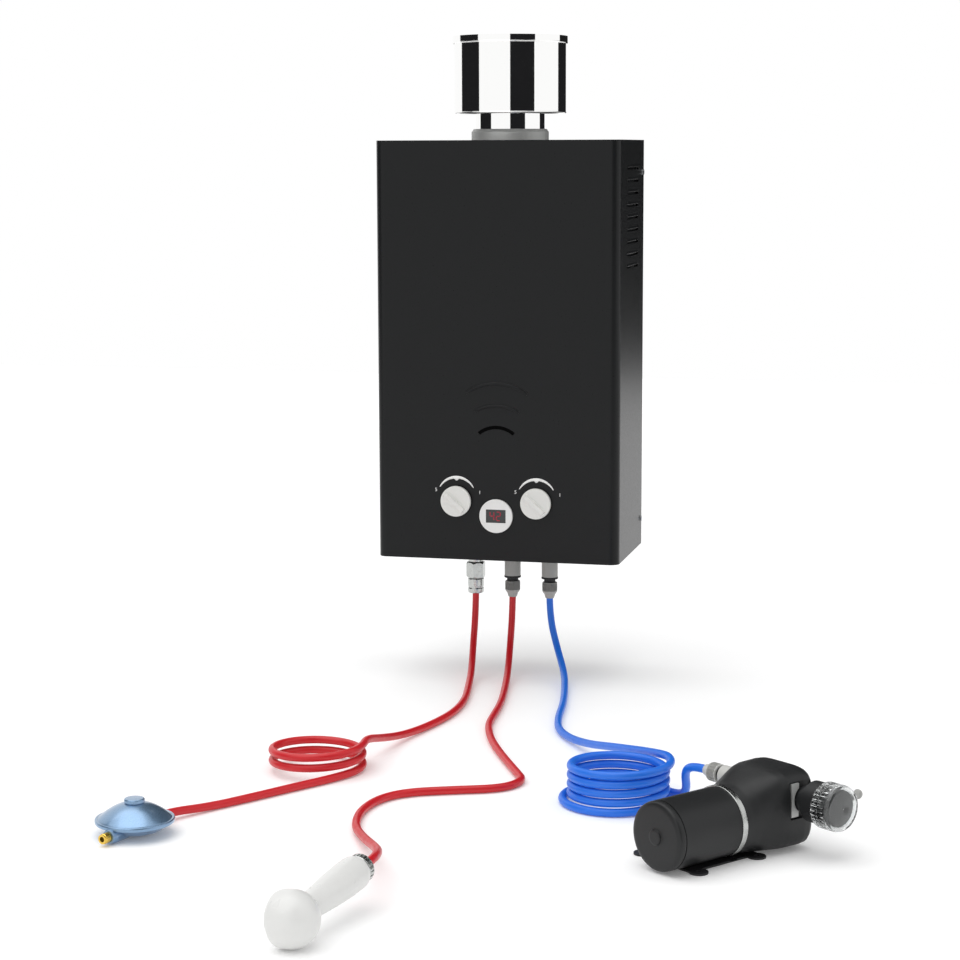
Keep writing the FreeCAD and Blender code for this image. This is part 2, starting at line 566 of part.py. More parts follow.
for way in (-1, 1):
    clip = Part.makeBox(9, 2, 31, Vector(port_x - 16, side - 3.9 if way > 0 else 1.9 - side, port_z - 15.5))
    clips.append(clip.cut(Part.makeCylinder(12.7, 200, Vector(port_x, -100, port_z), Vector(0, 1, 0))))
port_clips = free("port_clips", Part.makeCompound(clips), PUMP)
feet = [Vector(67.5 + x, 14 + y, -size("pump_height")) for x in (-36, 36) for y in (-36, 36)]
pads = Part.makeBox(84, 36, 1.8, Vector(25.5, -18, -size("pump_height")))
for foot in feet:
    arm = Part.makeBox(13, abs(foot.y), 1.8, Vector(foot.x - 6.5, min(foot.y, 0), foot.z))
    pads = pads.fuse([Part.makeCylinder(8.5, 1.8, foot), arm])
pads = pads.cut(Part.makeBox(8, 80, 3, Vector(75, -40, -size("motor_radius") - 1.3)))
for foot in feet:
    pads = pads.cut(Part.makeCylinder(2.25, 9, foot - Vector(0, 0, 2)))
pump_base = free("pump_base", pads, PUMP)
pump_coupling = free("pump_coupling", lathe(
    [(0, -3.9), (10.8, -3.9), (10.8, -1.9), (9.2, -1.9), (9.2, 30.08), (0, 30.08)], port_start, across), PUMP)
pump_hose_nut = free("pump_hose_nut", lathe(nut_profile(12.2), port_start + across * 34.12, across), PUMP)
near_port = Vector(port_x, -side, port_z)
back = Vector(0, -1, 0)
strainer_body = free("strainer_body", lathe(
    [(0, -3.9), (10.8, -3.9), (10.8, 0.5), (12.5, 0.5), (12.5, 8), (18.9, 10), (18.9, 24), (17.3, 24),
     (17.3, 29), (0, 29)], near_port, back), PUMP)
glass = lathe([(17.7, 24.4), (21.4, 24.4), (21.4, 41), (20, 46), (0, 46), (0, 44), (19, 43.5),
               (19.4, 40), (19.4, 31), (17.7, 31)], near_port, back)
barb = lathe([(2.3, 0), (3.6, 0), (3.6, 9), (4.4, 10), (3.6, 13), (2.3, 13)],
             near_port + Vector(18.6, -36, 7), ALONG)
strainer_bowl = glass.fuse(barb)
strainer_bowl = free("strainer_bowl", strainer_bowl, PUMP)

NODES = [front_cover, back_plate, sight_glass, casing_screws, flue_collar, cap_neck, cap_drum, cap_lid,
         fume_hood, heat_exchanger, exchanger_pipe, cold_pipe, hot_pipe, burner_rack,
         gas_manifold, igniter_electrodes, gas_valve, gas_solenoid, water_valve, valve_push_rod,
         micro_switch, igniter_box, battery_box, batteries, battery_door, knobs["gas"], knobs["water"],
         knobs["gas_spindle"], knobs["water_spindle"], display_bezel, display_module,
         water_couplings, coupling_seals, hose_nuts, gas_hex_nut, gas_hose_ferrule,
         gas_hose_drop, gas_hose_coil, gas_hose_run,
         shower_hose, cold_hose_drop, cold_hose_coil, cold_hose_run, regulator_body, regulator_dome,
         regulator_cap, regulator_inlet_nut, shower_handle, shower_face, shower_nut, pump_end_cap,
         pump_motor, pump_band, pump_head, port_clips, pump_base, pump_coupling, pump_hose_nut,
         strainer_body, strainer_bowl]

doc.recompute()
for item in doc.Objects:
    if "Invalid" in item.State or "Error" in item.State:
        raise RuntimeError("%s failed: %s" % (item.Name, item.State))
for item in NODES:
    item.Label = item.Name
    if item.Shape.isNull() or not item.Shape.isValid() or not item.Shape.Solids:
        raise RuntimeError("%s has no valid solid" % item.Name)
for item in NODES:
    item.Shape.exportStep("parts/%s.step" % item.Name)
print(len(NODES), "nodes written")
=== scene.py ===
# %% [markdown]
# Portable gas water heater: a black sheet-steel case that hangs on a wall, with a
# polished rain cap on its flue, two knobs and a small display, and three hoses that
# end in a gas regulator, a hand shower and an electric pump.
#
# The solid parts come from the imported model. This file gives them their finishes,
# and adds the pieces whose shape or detail a plain solid can't carry.

# %% Load the solid parts
import math

import bmesh
import bpy
import numpy as np
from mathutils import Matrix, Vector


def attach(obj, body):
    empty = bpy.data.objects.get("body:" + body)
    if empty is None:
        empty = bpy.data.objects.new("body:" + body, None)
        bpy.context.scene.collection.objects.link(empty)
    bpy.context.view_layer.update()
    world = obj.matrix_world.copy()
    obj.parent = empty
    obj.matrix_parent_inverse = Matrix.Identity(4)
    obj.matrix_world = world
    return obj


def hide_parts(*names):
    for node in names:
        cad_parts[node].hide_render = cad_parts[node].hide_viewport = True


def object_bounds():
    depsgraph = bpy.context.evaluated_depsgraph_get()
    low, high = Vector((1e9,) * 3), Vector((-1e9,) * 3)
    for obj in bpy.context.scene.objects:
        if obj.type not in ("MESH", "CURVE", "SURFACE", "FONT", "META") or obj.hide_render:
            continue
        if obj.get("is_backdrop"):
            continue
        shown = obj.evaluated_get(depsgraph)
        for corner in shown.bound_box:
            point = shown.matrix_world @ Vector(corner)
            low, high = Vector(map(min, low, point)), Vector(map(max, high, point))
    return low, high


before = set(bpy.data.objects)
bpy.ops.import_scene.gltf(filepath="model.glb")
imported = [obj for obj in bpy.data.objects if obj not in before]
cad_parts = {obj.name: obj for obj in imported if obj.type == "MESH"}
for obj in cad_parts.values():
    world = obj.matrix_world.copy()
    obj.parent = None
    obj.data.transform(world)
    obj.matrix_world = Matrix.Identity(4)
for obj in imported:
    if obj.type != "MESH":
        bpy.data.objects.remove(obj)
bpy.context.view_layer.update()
scene = bpy.context.scene
MM = 0.001
FLOOR = -612
CASE_FRONT, CASE_SIDE = -160, 145
PORT_DEPTH, PORT_STEP = -75, 46
print(len(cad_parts), "solid parts loaded")

# %% [markdown]
# The camera stands a little to the right of the heater and looks slightly down, from
# almost three metres. A long lens keeps the case's upright edges nearly parallel.

# %% Camera
camera = bpy.data.objects.new("camera", bpy.data.cameras.new("camera"))
scene.collection.objects.link(camera)
scene.camera = camera
camera.data.lens = 86.05
camera.data.sensor_width = 36
camera.location = (0.6136, -2.7485, 0.0173)
LOOK_DOWN, ROLL, TURN = 8.196, 0.19, 13.72
camera.rotation_euler = [math.radians(a) for a in (90 - LOOK_DOWN, ROLL, TURN)]
print("camera stands", round(camera.location.length, 2), "m from the top of the case")

# %% [markdown]
# The hoses are made first. A hose is a soft tube of one fixed length, so each is a
# single smooth curve with a round section: straight out of its fitting, down under its
# own weight, and along the floor. Two of them are wound into a coil on the way. A
# curve is better here than a mesh, because its few points stay easy to move.

# %% Where the hoses end
HOSE_RADIUS = 4.1
REST = FLOOR + HOSE_RADIUS + 0.1
PUMP_SPOT, PUMP_TURN = np.array([300.4, -826.3, FLOOR + 33.5]), math.radians(52.5)
REGULATOR_SPOT, REGULATOR_TURN = np.array([-190, -818, FLOOR]), math.radians(-106)
SHOWER_NUT = np.array([74.5, -970, -578])
SHOWER_HEAD = np.array([50.4, -1078.7, FLOOR + 24.3])
REACH = float(np.linalg.norm(SHOWER_HEAD - SHOWER_NUT))
SHOWER_WAY = (SHOWER_HEAD - SHOWER_NUT) / REACH
OUTLET, INLET = np.array([150, 37, 15.5]), np.array([150, -37, 15.5])
print("hand shower:", round(REACH), "mm from its nut to the middle of its head")


def turned_about(point, turn):
    """A point or direction turned about the upright axis: (x cos - y sin, x sin + y cos, z)."""
    x, y, z = np.moveaxis(np.asarray(point, float), -1, 0)
    cos, sin = math.cos(turn), math.sin(turn)
    return np.stack([x * cos - y * sin, x * sin + y * cos, z], -1)


def on_pump(point):
    """A point in the pump's own measures, where X runs from the motor to the head."""
    return turned_about(point, PUMP_TURN) + PUMP_SPOT


def on_regulator(point):
    """A point in the regulator's own measures, where X runs from the hose to the inlet."""
    return turned_about(point, REGULATOR_TURN) + REGULATOR_SPOT


# %% Coils
COIL_RADIUS = 46.6
RED_MIDDLE, RED_TURNS, RED_PITCH = np.array([-92.9, -565.1, 0]), 2.1, 10.8
BLUE_MIDDLE, BLUE_TURNS, BLUE_PITCH = np.array([229.2, -616.2, 0]), 4.97, 8.9
BLUE_FRONT, BLUE_BACK = 0.361, 3.85
LEAD_OUT, TAIL_OUT = 5.2, 9.9
POINTS_PER_TURN = 16
CORNER_CUT = 1 / math.cos(math.pi / POINTS_PER_TURN) ** 0.5


def smooth(value):
    """Eases from 0 to 1: 3 v^2 - 2 v^3, held at both ends."""
    value = np.clip(value, 0, 1)
    return value * value * (3 - 2 * value)


def wound(middle, angle, radius, height):
    """Points round a coil: middle + radius (cos angle, sin angle), at a height."""
    ring = [radius * CORNER_CUT * np.cos(angle), radius * CORNER_CUT * np.sin(angle), height]
    return middle + np.stack(np.broadcast_arrays(*ring), -1)


red_turn = np.linspace(0, RED_TURNS, round(RED_TURNS * POINTS_PER_TURN) + 1)
red_coil = wound(RED_MIDDLE, np.radians(5 - 360 * red_turn), COIL_RADIUS,
                 REST + 0.4 + RED_PITCH * (RED_TURNS - red_turn))
blue_turn = np.linspace(0, BLUE_TURNS, round(BLUE_TURNS * POINTS_PER_TURN) + 1)
blue_coil = wound(BLUE_MIDDLE, np.radians(40 - 360 * blue_turn),
                  COIL_RADIUS + LEAD_OUT * (1 - smooth(blue_turn / BLUE_FRONT))
                  + TAIL_OUT * smooth((blue_turn - BLUE_FRONT - BLUE_BACK) / 0.5),
                  REST + BLUE_PITCH * np.maximum(BLUE_FRONT + 4 - blue_turn, 0))
print("coils:", RED_TURNS, "and", BLUE_TURNS, "turns,", COIL_RADIUS, "mm in radius")

# %% Routes
WATER_END = -520.72
GAS_DROP = [(-46, -75, -518.02), (-46.5, -75.5, -545), (-45.5, -92, -580), (-37, -135, -602),
            (-26, -195, -607.8), (-14, -262, -607.8), (-13, -325, -607.8), (-26, -388, -607.8),
            (-39.5, -438, -605), (-46, -488, -595.5), (-48.6, -537.1, -583.8)]
GAS_RUN = [(-70, -617.5, -607.7), (-92, -648, -607.8), (-120, -690, -607.8),
           (-148, -730, -607.8), (-176.2, -769.9, -604)]
SHOWER_RUN = [(0, -75, WATER_END), (-0.5, -75.5, -546), (0.5, -92, -580), (7, -132, -602),
              (17, -190, -607.8), (29, -262, -607.8), (34, -320, -607.8), (38, -362, -607.8),
              (52, -412, -607.8), (70, -457, -607.8), (92, -504, -607.8), (112, -545, -607.8),
              (125.4, -572.6, -607.8), (111.4, -604.8, -607.8), (64, -622, -607.8),
              (22, -640, -607.8), (2, -668, -607.8), (-4, -712, -607.8), (6, -762, -607.8),
              (28, -808, -603), (54, -858, -595), (71, -905, -583.5), (79.7, -946.7, -575.9)]
COLD_DROP = [(46, -75, WATER_END), (46.6, -75.3, -546), (58, -89, -578), (76, -130, -601),
             (88, -188, -607.8), (99, -250, -607.8), (106, -312, -607.8), (117, -365, -607.8),
             (140, -408, -606), (170, -452, -599), (203, -497, -588)]
COLD_RUN = [(282.7, -586.9, -607.8), (294.7, -603.6, -599.5), (295.3, -626.7, -571.8),
            (306.4, -641.9, -563)]
gas_route = np.vstack([GAS_DROP, red_coil, GAS_RUN, [on_regulator((-34, 0, 8))]])
shower_route = np.vstack([SHOWER_RUN, [SHOWER_NUT - 6 * SHOWER_WAY]])
cold_route = np.vstack([COLD_DROP, blue_coil, COLD_RUN, [on_pump(OUTLET + (0, 53.9, 0))]])


def hose(name, route):
    """A round tube along a smooth curve whose control points are the route's. The section's
    size sits in the points, which carry the hose's true thickness."""
    curve = bpy.data.curves.new(name, "CURVE")
    curve.dimensions = "3D"
    spline = curve.splines.new("NURBS")
    spline.points.add(len(route) - 1)
    spline.points.foreach_set("co", np.column_stack([route * MM, np.ones(len(route))]).ravel())
    spline.points.foreach_set("radius", np.full(len(route), HOSE_RADIUS * MM))
    spline.order_u = 3
    spline.use_endpoint_u = True
    curve.resolution_u = 6
    curve.bevel_depth = 1.0
    curve.bevel_resolution = 6
    curve.use_fill_caps = True
    tube = bpy.data.objects.new(name, curve)
    scene.collection.objects.link(tube)
    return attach(tube, "root")


gas_hose = hose("gas_hose", gas_route)
shower_tube = hose("shower_tube", shower_route)
cold_hose = hose("cold_hose", cold_route)
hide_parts("gas_hose_drop", "gas_hose_coil", "gas_hose_run")
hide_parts("shower_hose")
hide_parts("cold_hose_drop", "cold_hose_coil", "cold_hose_run")
print("control points of the hoses:", len(gas_route), len(shower_route), len(cold_route))

# %% [markdown]
# Every finish is worked out from nodes, with no picture. A small helper adds one node,
# sets its values and joins its inputs, so a finish reads as a short list.

# %% Helpers for finishes
def linear(code):
    """The light that an sRGB hex colour stands for: ((c + 0.055) / 1.055) ^ 2.4 above the toe."""
    part = np.array([int(code[n:n + 2], 16) for n in (0, 2, 4)]) / 255
    return (*np.where(part <= 0.04045, part / 12.92, ((part + 0.055) / 1.055) ** 2.4), 1.0)


def add(tree, kind, sockets=None, **settings):
    """Adds one node. A socket's value is a plain number or colour, or another node's output."""
    node = tree.nodes.new(kind)
    for key, value in settings.items():
        setattr(node, key, value)
    for key, value in (sockets or {}).items():
        if isinstance(value, bpy.types.NodeSocket):
            tree.links.new(value, node.inputs[key])
        else:
            node.inputs[key].default_value = value
    return node


def finish(name, colour, roughness, **sockets):
    """A new material with one surface shader. Extra values go to the shader's own sockets.
    Its name is printed, so each cell of finishes says what it made."""
    material = bpy.data.materials.new(name)
    material.use_nodes = True
    tree = material.node_tree
    tree.nodes.clear()
    values = {"Base Color": linear(colour), "Roughness": roughness}
    values.update({key.replace("_", " "): value for key, value in sockets.items()})
    shader = add(tree, "ShaderNodeBsdfPrincipled", values)
    shader.name = "surface"
    add(tree, "ShaderNodeOutputMaterial", {"Surface": shader.outputs[0]})
    print("finish:", name)
    return material


def grain(material, spacing, depth, gloss=None, tones=None, stretch=(1, 1, 1)):
    """Fine relief: noise with features a spacing apart and a depth high, both in mm.
    gloss is the roughness at the noise's low and high points, and tones its two colours."""
    tree = material.node_tree
    shader = tree.nodes["surface"]
    place = add(tree, "ShaderNodeTexCoord").outputs["Object"]
    place = add(tree, "ShaderNodeMapping", {"Vector": place, "Scale": stretch}).outputs[0]
    noise = add(tree, "ShaderNodeTexNoise",
                {"Vector": place, "Scale": 1 / (spacing * MM), "Detail": 3})
    if depth:
        bump = add(tree, "ShaderNodeBump", {"Height": noise.outputs[0], "Distance": depth * MM})
        tree.links.new(bump.outputs[0], shader.inputs["Normal"])
    if gloss:
        level = add(tree, "ShaderNodeMapRange",
                    {"Value": noise.outputs[0], "From Min": 0.3, "From Max": 0.7,
                     "To Min": gloss[0], "To Max": gloss[1]})
        tree.links.new(level.outputs[0], shader.inputs["Roughness"])
    if tones:
        coarse = add(tree, "ShaderNodeTexNoise",
                     {"Vector": place, "Scale": 0.04 / (spacing * MM), "Detail": 2})
        blend = add(tree, "ShaderNodeMix",
                    {"Factor": coarse.outputs[0], "A": linear(tones[0]), "B": linear(tones[1])},
                    data_type="RGBA")
        tree.links.new(blend.outputs["Result"], shader.inputs["Base Color"])
    return material


# %% [markdown]
# The case is sheet steel with a baked powder coat. The powder melts into a skin with a
# slight orange peel, so it is dark with a broad, soft shine.

# %% Powder coat
powder_coat = grain(finish("black_powder_coat", "151617", 0.3, IOR=1.5, Specular_IOR_Level=0.2),
                    1.6, 0.015, (0.27, 0.34), ("141516", "161718"))

# %% [markdown]
# Galvanised sheet has flat crystals of zinc about nine millimetres across. Each one
# tips the light a little, so cells of slightly different grey show side by side.

# %% Galvanised sheet
galvanised = finish("galvanised_steel", "9b9fa2", 0.45, Metallic=1.0)
tree = galvanised.node_tree
place = add(tree, "ShaderNodeTexCoord").outputs["Object"]
SPANGLE = 9
cells = add(tree, "ShaderNodeTexVoronoi", {"Vector": place, "Scale": 1 / (SPANGLE * MM)})
shade = add(tree, "ShaderNodeMix", {"Factor": cells.outputs["Color"], "A": linear("8d9194"),
                                    "B": linear("b3b6b8")}, data_type="RGBA")
tree.links.new(shade.outputs["Result"], tree.nodes["surface"].inputs["Base Color"])
level = add(tree, "ShaderNodeMapRange",
            {"Value": cells.outputs["Distance"], "To Min": 0.36, "To Max": 0.5})
tree.links.new(level.outputs[0], tree.nodes["surface"].inputs["Roughness"])
print("crystals of zinc", SPANGLE, "mm across")

# %% [markdown]
# The rain cap is stainless steel polished to a mirror. Its colour is mostly the room
# around it, so the material is nearly plain and the surroundings do the work. Castings
# keep the grain of their mould, and drawn and turned metals keep a fine even sheen.

# %% Metals
mirror_steel = grain(finish("polished_stainless_steel", "fbfbfa", 0.03, Metallic=1.0), 30, 0.0,
                     (0.02, 0.05))
cast_alloy = grain(finish("cast_aluminium", "d2d3d1", 0.5, Metallic=0.4), 1.2, 0.04, (0.42, 0.56))
plated_brass = grain(finish("nickel_plated_brass", "bdbfbd", 0.25, Metallic=1.0), 3, 0.004,
                     (0.2, 0.3))
turned_steel = grain(finish("turned_steel", "a9abad", 0.3, Metallic=1.0), 0.8, 0.004, (0.25, 0.38),
                     None, (1, 0.1, 1))
copper = grain(finish("drawn_copper", "c4744e", 0.3, Metallic=1.0), 2.5, 0.006, (0.25, 0.45),
               ("b5633f", "cf8560"))
brass = grain(finish("turned_brass", "e8c25a", 0.22, Metallic=1.0), 1.2, 0.006, (0.16, 0.3))
blue_lacquer = grain(finish("blue_metallic_lacquer", "7d9cbc", 0.3, Metallic=0.75, Coat_Weight=0.7,
                            Coat_Roughness=0.08), 0.5, 0.006, (0.24, 0.36), ("7696b7", "84a3c2"))

# %% [markdown]
# Moulded plastics take their skin from the mould. Spark-eroded steel leaves a fine
# matt grain on the knobs, and a polished mould leaves the hand shower smooth. The
# grain is drawn a little coarser than life, so that it still shows at this distance.

# %% Plastics and rubber
knob_plastic = grain(finish("matt_grey_abs", "dcdcd8", 0.5, IOR=1.53), 0.7, 0.012, (0.45, 0.58),
                     ("d8d8d4", "dededa"))
white_abs = grain(finish("white_abs", "e0e0de", 0.3, IOR=1.49), 14, 0.004, (0.26, 0.34))
grey_nylon = grain(finish("grey_nylon", "a2a29f", 0.5, IOR=1.53), 0.9, 0.015, (0.42, 0.56),
                   ("9d9d9a", "a7a7a4"))
pale_nylon = grain(finish("pale_grey_nylon", "c3c3bf", 0.45, IOR=1.53), 0.9, 0.012, (0.38, 0.5))
black_polymer = grain(finish("black_polypropylene", "1e1f20", 0.45, IOR=1.49,
                             Specular_IOR_Level=0.35), 1.1, 0.015, (0.38, 0.5), ("1c1d1e", "202122"))
rubber = grain(finish("black_rubber", "17171a", 0.65, IOR=1.52), 1.4, 0.02, (0.58, 0.75))
phenolic = grain(finish("black_phenolic", "232323", 0.45), 1.0, 0.01, (0.4, 0.55))
red_pvc = grain(finish("red_pvc_hose", "c8141f", 0.36, IOR=1.49), 6, 0.03, (0.3, 0.42),
                ("c2111c", "cf1823"))
blue_pvc = grain(finish("blue_pvc_hose", "1b70e2", 0.36, IOR=1.49), 6, 0.03, (0.3, 0.42),
                 ("176ada", "2077ea"))
print_white = grain(finish("white_screen_ink", "ececea", 0.5), 0.5, 0.004)
cell_sleeve = grain(finish("printed_cell_sleeve", "4a5058", 0.3), 5, 0.0, (0.25, 0.35))
ceramic = grain(finish("glazed_ceramic", "e3dfd4", 0.18), 2, 0.01, (0.14, 0.24))

# %% [markdown]
# The strainer bowl is clear styrene, so light goes through it and bends. The window of
# the display is smoked acrylic, and its digits are red light-emitting strips behind it.

# %% Clear and glowing finishes
clear_styrene = grain(finish("clear_styrene", "eef0f0", 0.04, IOR=1.57, Transmission_Weight=1.0),
                      20, 0.0, (0.02, 0.07))
smoked_window = grain(finish("smoked_acrylic", "0d0c0e", 0.12, IOR=1.49, Coat_Weight=0.5),
                      10, 0.0, (0.08, 0.16))
# The sight glass is opaque and nearly black: painted shade that stands for the dark chamber behind
# it.
sight_pane_painted_shade = grain(finish("heatproof_glass_painted_shade", "020202", 0.1, IOR=1.47, Specular_IOR_Level=0.03),
                   12, 0.0, (0.06, 0.14))
lit_red = finish("red_led_strip", "7c1a2a", 0.4, Emission_Color=linear("a02538"),
                 Emission_Strength=0.35)

# %% [markdown]
# Each solid part takes the finish of what it really is made of, also inside the case,
# where the louvres and the sight slot let some of it be seen.

# %% Dress the solid parts
WORN = (
    (powder_coat, "front_cover"),
    (galvanised, "back_plate fume_hood"),
    (sight_pane_painted_shade, "sight_glass"),
    (cast_alloy, "flue_collar gas_valve water_valve port_clips"),
    (mirror_steel, "cap_neck cap_drum cap_lid"),
    (copper, "heat_exchanger exchanger_pipe cold_pipe hot_pipe"),
    (turned_steel, "casing_screws burner_rack gas_manifold valve_push_rod gas_spindle "
                   "water_spindle"),
    (ceramic, "igniter_electrodes"),
    (phenolic, "gas_solenoid micro_switch igniter_box battery_box"),
    (cell_sleeve, "batteries"),
    (black_polymer, "battery_door pump_end_cap pump_motor pump_head strainer_body"),
    (knob_plastic, "gas_knob water_knob"),
    (white_abs, "display_bezel shower_handle shower_face"),
    (smoked_window, "display_module"),
    (grey_nylon, "water_couplings hose_nuts"),
    (rubber, "coupling_seals pump_base"),
    (plated_brass, "gas_hex_nut gas_hose_ferrule shower_nut pump_band"),
    (red_pvc, "gas_hose_drop gas_hose_coil gas_hose_run shower_hose"),
    (blue_pvc, "cold_hose_drop cold_hose_coil cold_hose_run"),
    (blue_lacquer, "regulator_body regulator_dome regulator_cap"),
    (brass, "regulator_inlet_nut"),
    (pale_nylon, "pump_coupling pump_hose_nut"),
    (clear_styrene, "strainer_bowl"),
)
WEARS = {name: material for material, names in WORN for name in names.split()}


def wear(piece, material):
    """One material over the whole piece."""
    piece.data.materials.clear()
    piece.data.materials.append(material)
    return piece


for name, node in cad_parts.items():
    wear(node, WEARS[name])
for tube, material, node in ((gas_hose, red_pvc, "gas_hose_run"),
                             (shower_tube, red_pvc, "shower_hose"),
                             (cold_hose, blue_pvc, "cold_hose_run")):
    wear(tube, material)
print(len(WEARS), "solid parts and three hoses dressed")

# %% [markdown]
# New pieces are surfaces worked out as whole arrays. A grid of points becomes a sheet
# of four-sided faces. A profile turned about an axis gives every round fitting, and
# adding a ripple to its radius gives ribs and knurls.

# %% Helpers for shapes
def quads_of(grid, wrap):
    """The four point numbers of each face. With wrap, the last column meets the first."""
    count = np.arange(grid.shape[0] * grid.shape[1]).reshape(grid.shape[:2])
    if wrap:
        count = np.concatenate([count, count[:, :1]], axis=1)
    return np.stack([count[:-1, :-1], count[:-1, 1:], count[1:, 1:], count[1:, :-1]], -1)


def mesh_of(name, points, faces):
    """A mesh from an array of points in mm and a list of faces."""
    mesh = bpy.data.meshes.new(name)
    mesh.from_pydata((points.reshape(-1, 3) * MM).tolist(), [], faces)
    return mesh


def surface(name, grid, material, body="root", stands_for=(), wrap=True):
    """A piece with faces between the neighbours of grid[row, column], in mm."""
    quads = quads_of(grid, wrap).reshape(-1, 4).tolist()
    return settle(name, mesh_of(name, grid, quads), material, body, stands_for)


SHARP = math.radians(38)


def settle(name, mesh, material, body="root", stands_for=()):
    """Closes a mesh's seams, turns its faces outwards, and sets it riding on its body."""
    work = bmesh.new()
    work.from_mesh(mesh)
    bmesh.ops.remove_doubles(work, verts=work.verts, dist=0.002 * MM)
    bmesh.ops.recalc_face_normals(work, faces=work.faces)
    work.to_mesh(mesh)
    work.free()
    mesh.shade_smooth()
    mesh.set_sharp_from_angle(angle=SHARP)
    piece = bpy.data.objects.new(name, mesh)
    scene.collection.objects.link(piece)
    wear(piece, material)
    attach(piece, body)
    if stands_for:
        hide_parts(*stands_for)
    return piece


def size_of(piece):
    """A mesh's greatest less its least X, Y and Z, in mm, as text."""
    spots = np.zeros(len(piece.data.vertices) * 3)
    piece.data.vertices.foreach_get("co", spots)
    return "%s %.1f x %.1f x %.1f mm" % (piece.name, *np.ptp(spots.reshape(-1, 3), axis=0) / MM)


def facing(way):
    """Three unit vectors as rows, the last one along a direction."""
    way = np.asarray(way, float) / np.linalg.norm(way)
    side = np.cross((0, 0, 1), way)
    side = side / np.linalg.norm(side) if np.linalg.norm(side) > 1e-6 else np.array([1.0, 0, 0])
    return np.array([side, np.cross(way, side), way])


def eased(profile, radius, steps=5):
    """Each corner C of a profile becomes the curve (1-t)^2 A + 2t(1-t) C + t^2 B,
    where A and B lie a radius before and after it, or half-way to the next corner."""
    spots = np.array(profile, float)
    before, corner, after = spots[:-2], spots[1:-1], spots[2:]
    t = np.linspace(0, 1, steps)[None, :, None]
    ends = []
    for other in (before, after):
        length = np.linalg.norm(other - corner, axis=1, keepdims=True)
        ends.append((corner + (other - corner) / length * np.minimum(radius, length / 2))[:, None])
    curve = (1 - t) ** 2 * ends[0] + 2 * t * (1 - t) * corner[:, None] + t ** 2 * ends[1]
    return np.vstack([spots[:1], curve.reshape(-1, 2), spots[-1:]])


def lathe(name, profile, at, way, material, count=96, ripple=None, **more):
    """A profile of (radius, distance) turned about an axis: (r cos a, r sin a, h).
    ripple(h, a) is added to the radius."""
    profile = np.array(profile, float)
    radius, height = profile[:, :1], profile[:, 1:]
    angle = np.linspace(0, 2 * np.pi, count, endpoint=False)[None]
    if ripple is not None:
        radius = radius + ripple(height, angle) * (radius > 0.01)
    local = [radius * np.cos(angle), radius * np.sin(angle), height]
    local = np.stack(np.broadcast_arrays(*local), -1)
    return surface(name, local @ facing(way) + np.asarray(at, float), material, **more)


def with_rows(profile, radius, low, high, rows, after):
    """Puts even rows of one radius into a profile, before its first row above a height."""
    cut = int(np.searchsorted(profile[:, 1] > after, True))
    more = np.column_stack([np.full(rows, radius), np.linspace(low, high, rows)])
    return np.vstack([profile[:cut], more, profile[cut:]])


def ribs(count, depth, low, high):
    """Ripple of rounded ribs between two heights: depth times a flattened cosine."""
    def ripple(height, angle):
        inside = (height > low) * (height < high)
        return -depth * inside * smooth(1.6 * np.cos(count * angle) - 0.3)
    return ripple


# %% [markdown]
# Each knob is a moulded disc with a straight grip across it. The disc is turned, and
# its front face is then lifted along the grip, with rounded shoulders that slope more
# gently on the lower side.

# %% Knobs
KNOB_RADIUS, KNOB_THICK, KNOB_ROUND = 18, 5.5, 1.6
KNOB_FACE, KNOB_HEIGHT, KNOB_SPREAD = -167, -392, 48
GRIP_TURN = math.radians(42)
GRIP_HIGH, GRIP_HALF = 3.7, 15.6


def grip_height(across, along):
    """Height of the grip: full over its width, eased off over 6 mm on its lower side,
    0.7 mm on its upper side and 1.5 mm at its ends."""
    side = smooth((across + 8.6) / 6) * smooth((1.5 - across) / 0.7)
    return GRIP_HIGH * side * smooth((GRIP_HALF - np.abs(along)) / 1.5)


def knob(name, x, body):
    """A disc about Y whose face carries the grip."""
    face = np.linspace(0, KNOB_RADIUS - KNOB_ROUND, 34)
    edge = eased([(KNOB_RADIUS - KNOB_ROUND, 0), (KNOB_RADIUS, 0), (KNOB_RADIUS, KNOB_THICK),
                  (0, KNOB_THICK)], 1.2)
    radius = np.concatenate([face, edge[1:, 0]])[:, None]
    depth = np.concatenate([face * 0, edge[1:, 1]])[:, None]
    angle = np.linspace(0, 2 * np.pi, 144, endpoint=False)[None]
    right, up = radius * np.cos(angle), radius * np.sin(angle)
    along = right * math.cos(GRIP_TURN) - up * math.sin(GRIP_TURN)
    across = right * math.sin(GRIP_TURN) + up * math.cos(GRIP_TURN)
    lift = grip_height(across, along) * (depth < 0.01)
    grid = np.stack([x + right, KNOB_FACE + depth - lift, KNOB_HEIGHT + up], -1)
    return surface(name, grid, knob_plastic, body, (body,))


for side, body in ((-1, "gas_knob"), (1, "water_knob")):
    print(size_of(knob(body + "_moulding", side * KNOB_SPREAD, body)))

# %% [markdown]
# The scales above the knobs are printed in white ink. Each is a crescent between two
# arcs, thickest in the middle, with a small bump as a pointer. The numbers at its ends
# are plain type. Ink is thin, so these pieces stand less than a tenth of a millimetre
# proud of the case.

# %% Printed scales
INK = 0.08
SCALE_RADIUS, SCALE_HALF, SCALE_LIFT = 22.7, 66, 6.9
NUMERAL, TYPE_TO_NUMERAL = 4.2, 1.38


def thicken(piece, depth):
    """Gives a flat piece a body behind it, and keeps that as its mesh."""
    wall = piece.modifiers.new("body", "SOLIDIFY")
    wall.thickness = depth * MM
    wall.offset = 0
    return keep_shape(piece)


def keep_shape(piece):
    """Replaces a piece's mesh by the one that its modifiers give."""
    bpy.context.view_layer.update()
    graph = bpy.context.evaluated_depsgraph_get()
    made = bpy.data.meshes.new_from_object(piece.evaluated_get(graph))
    piece.modifiers.clear()
    piece.data = made
    return piece


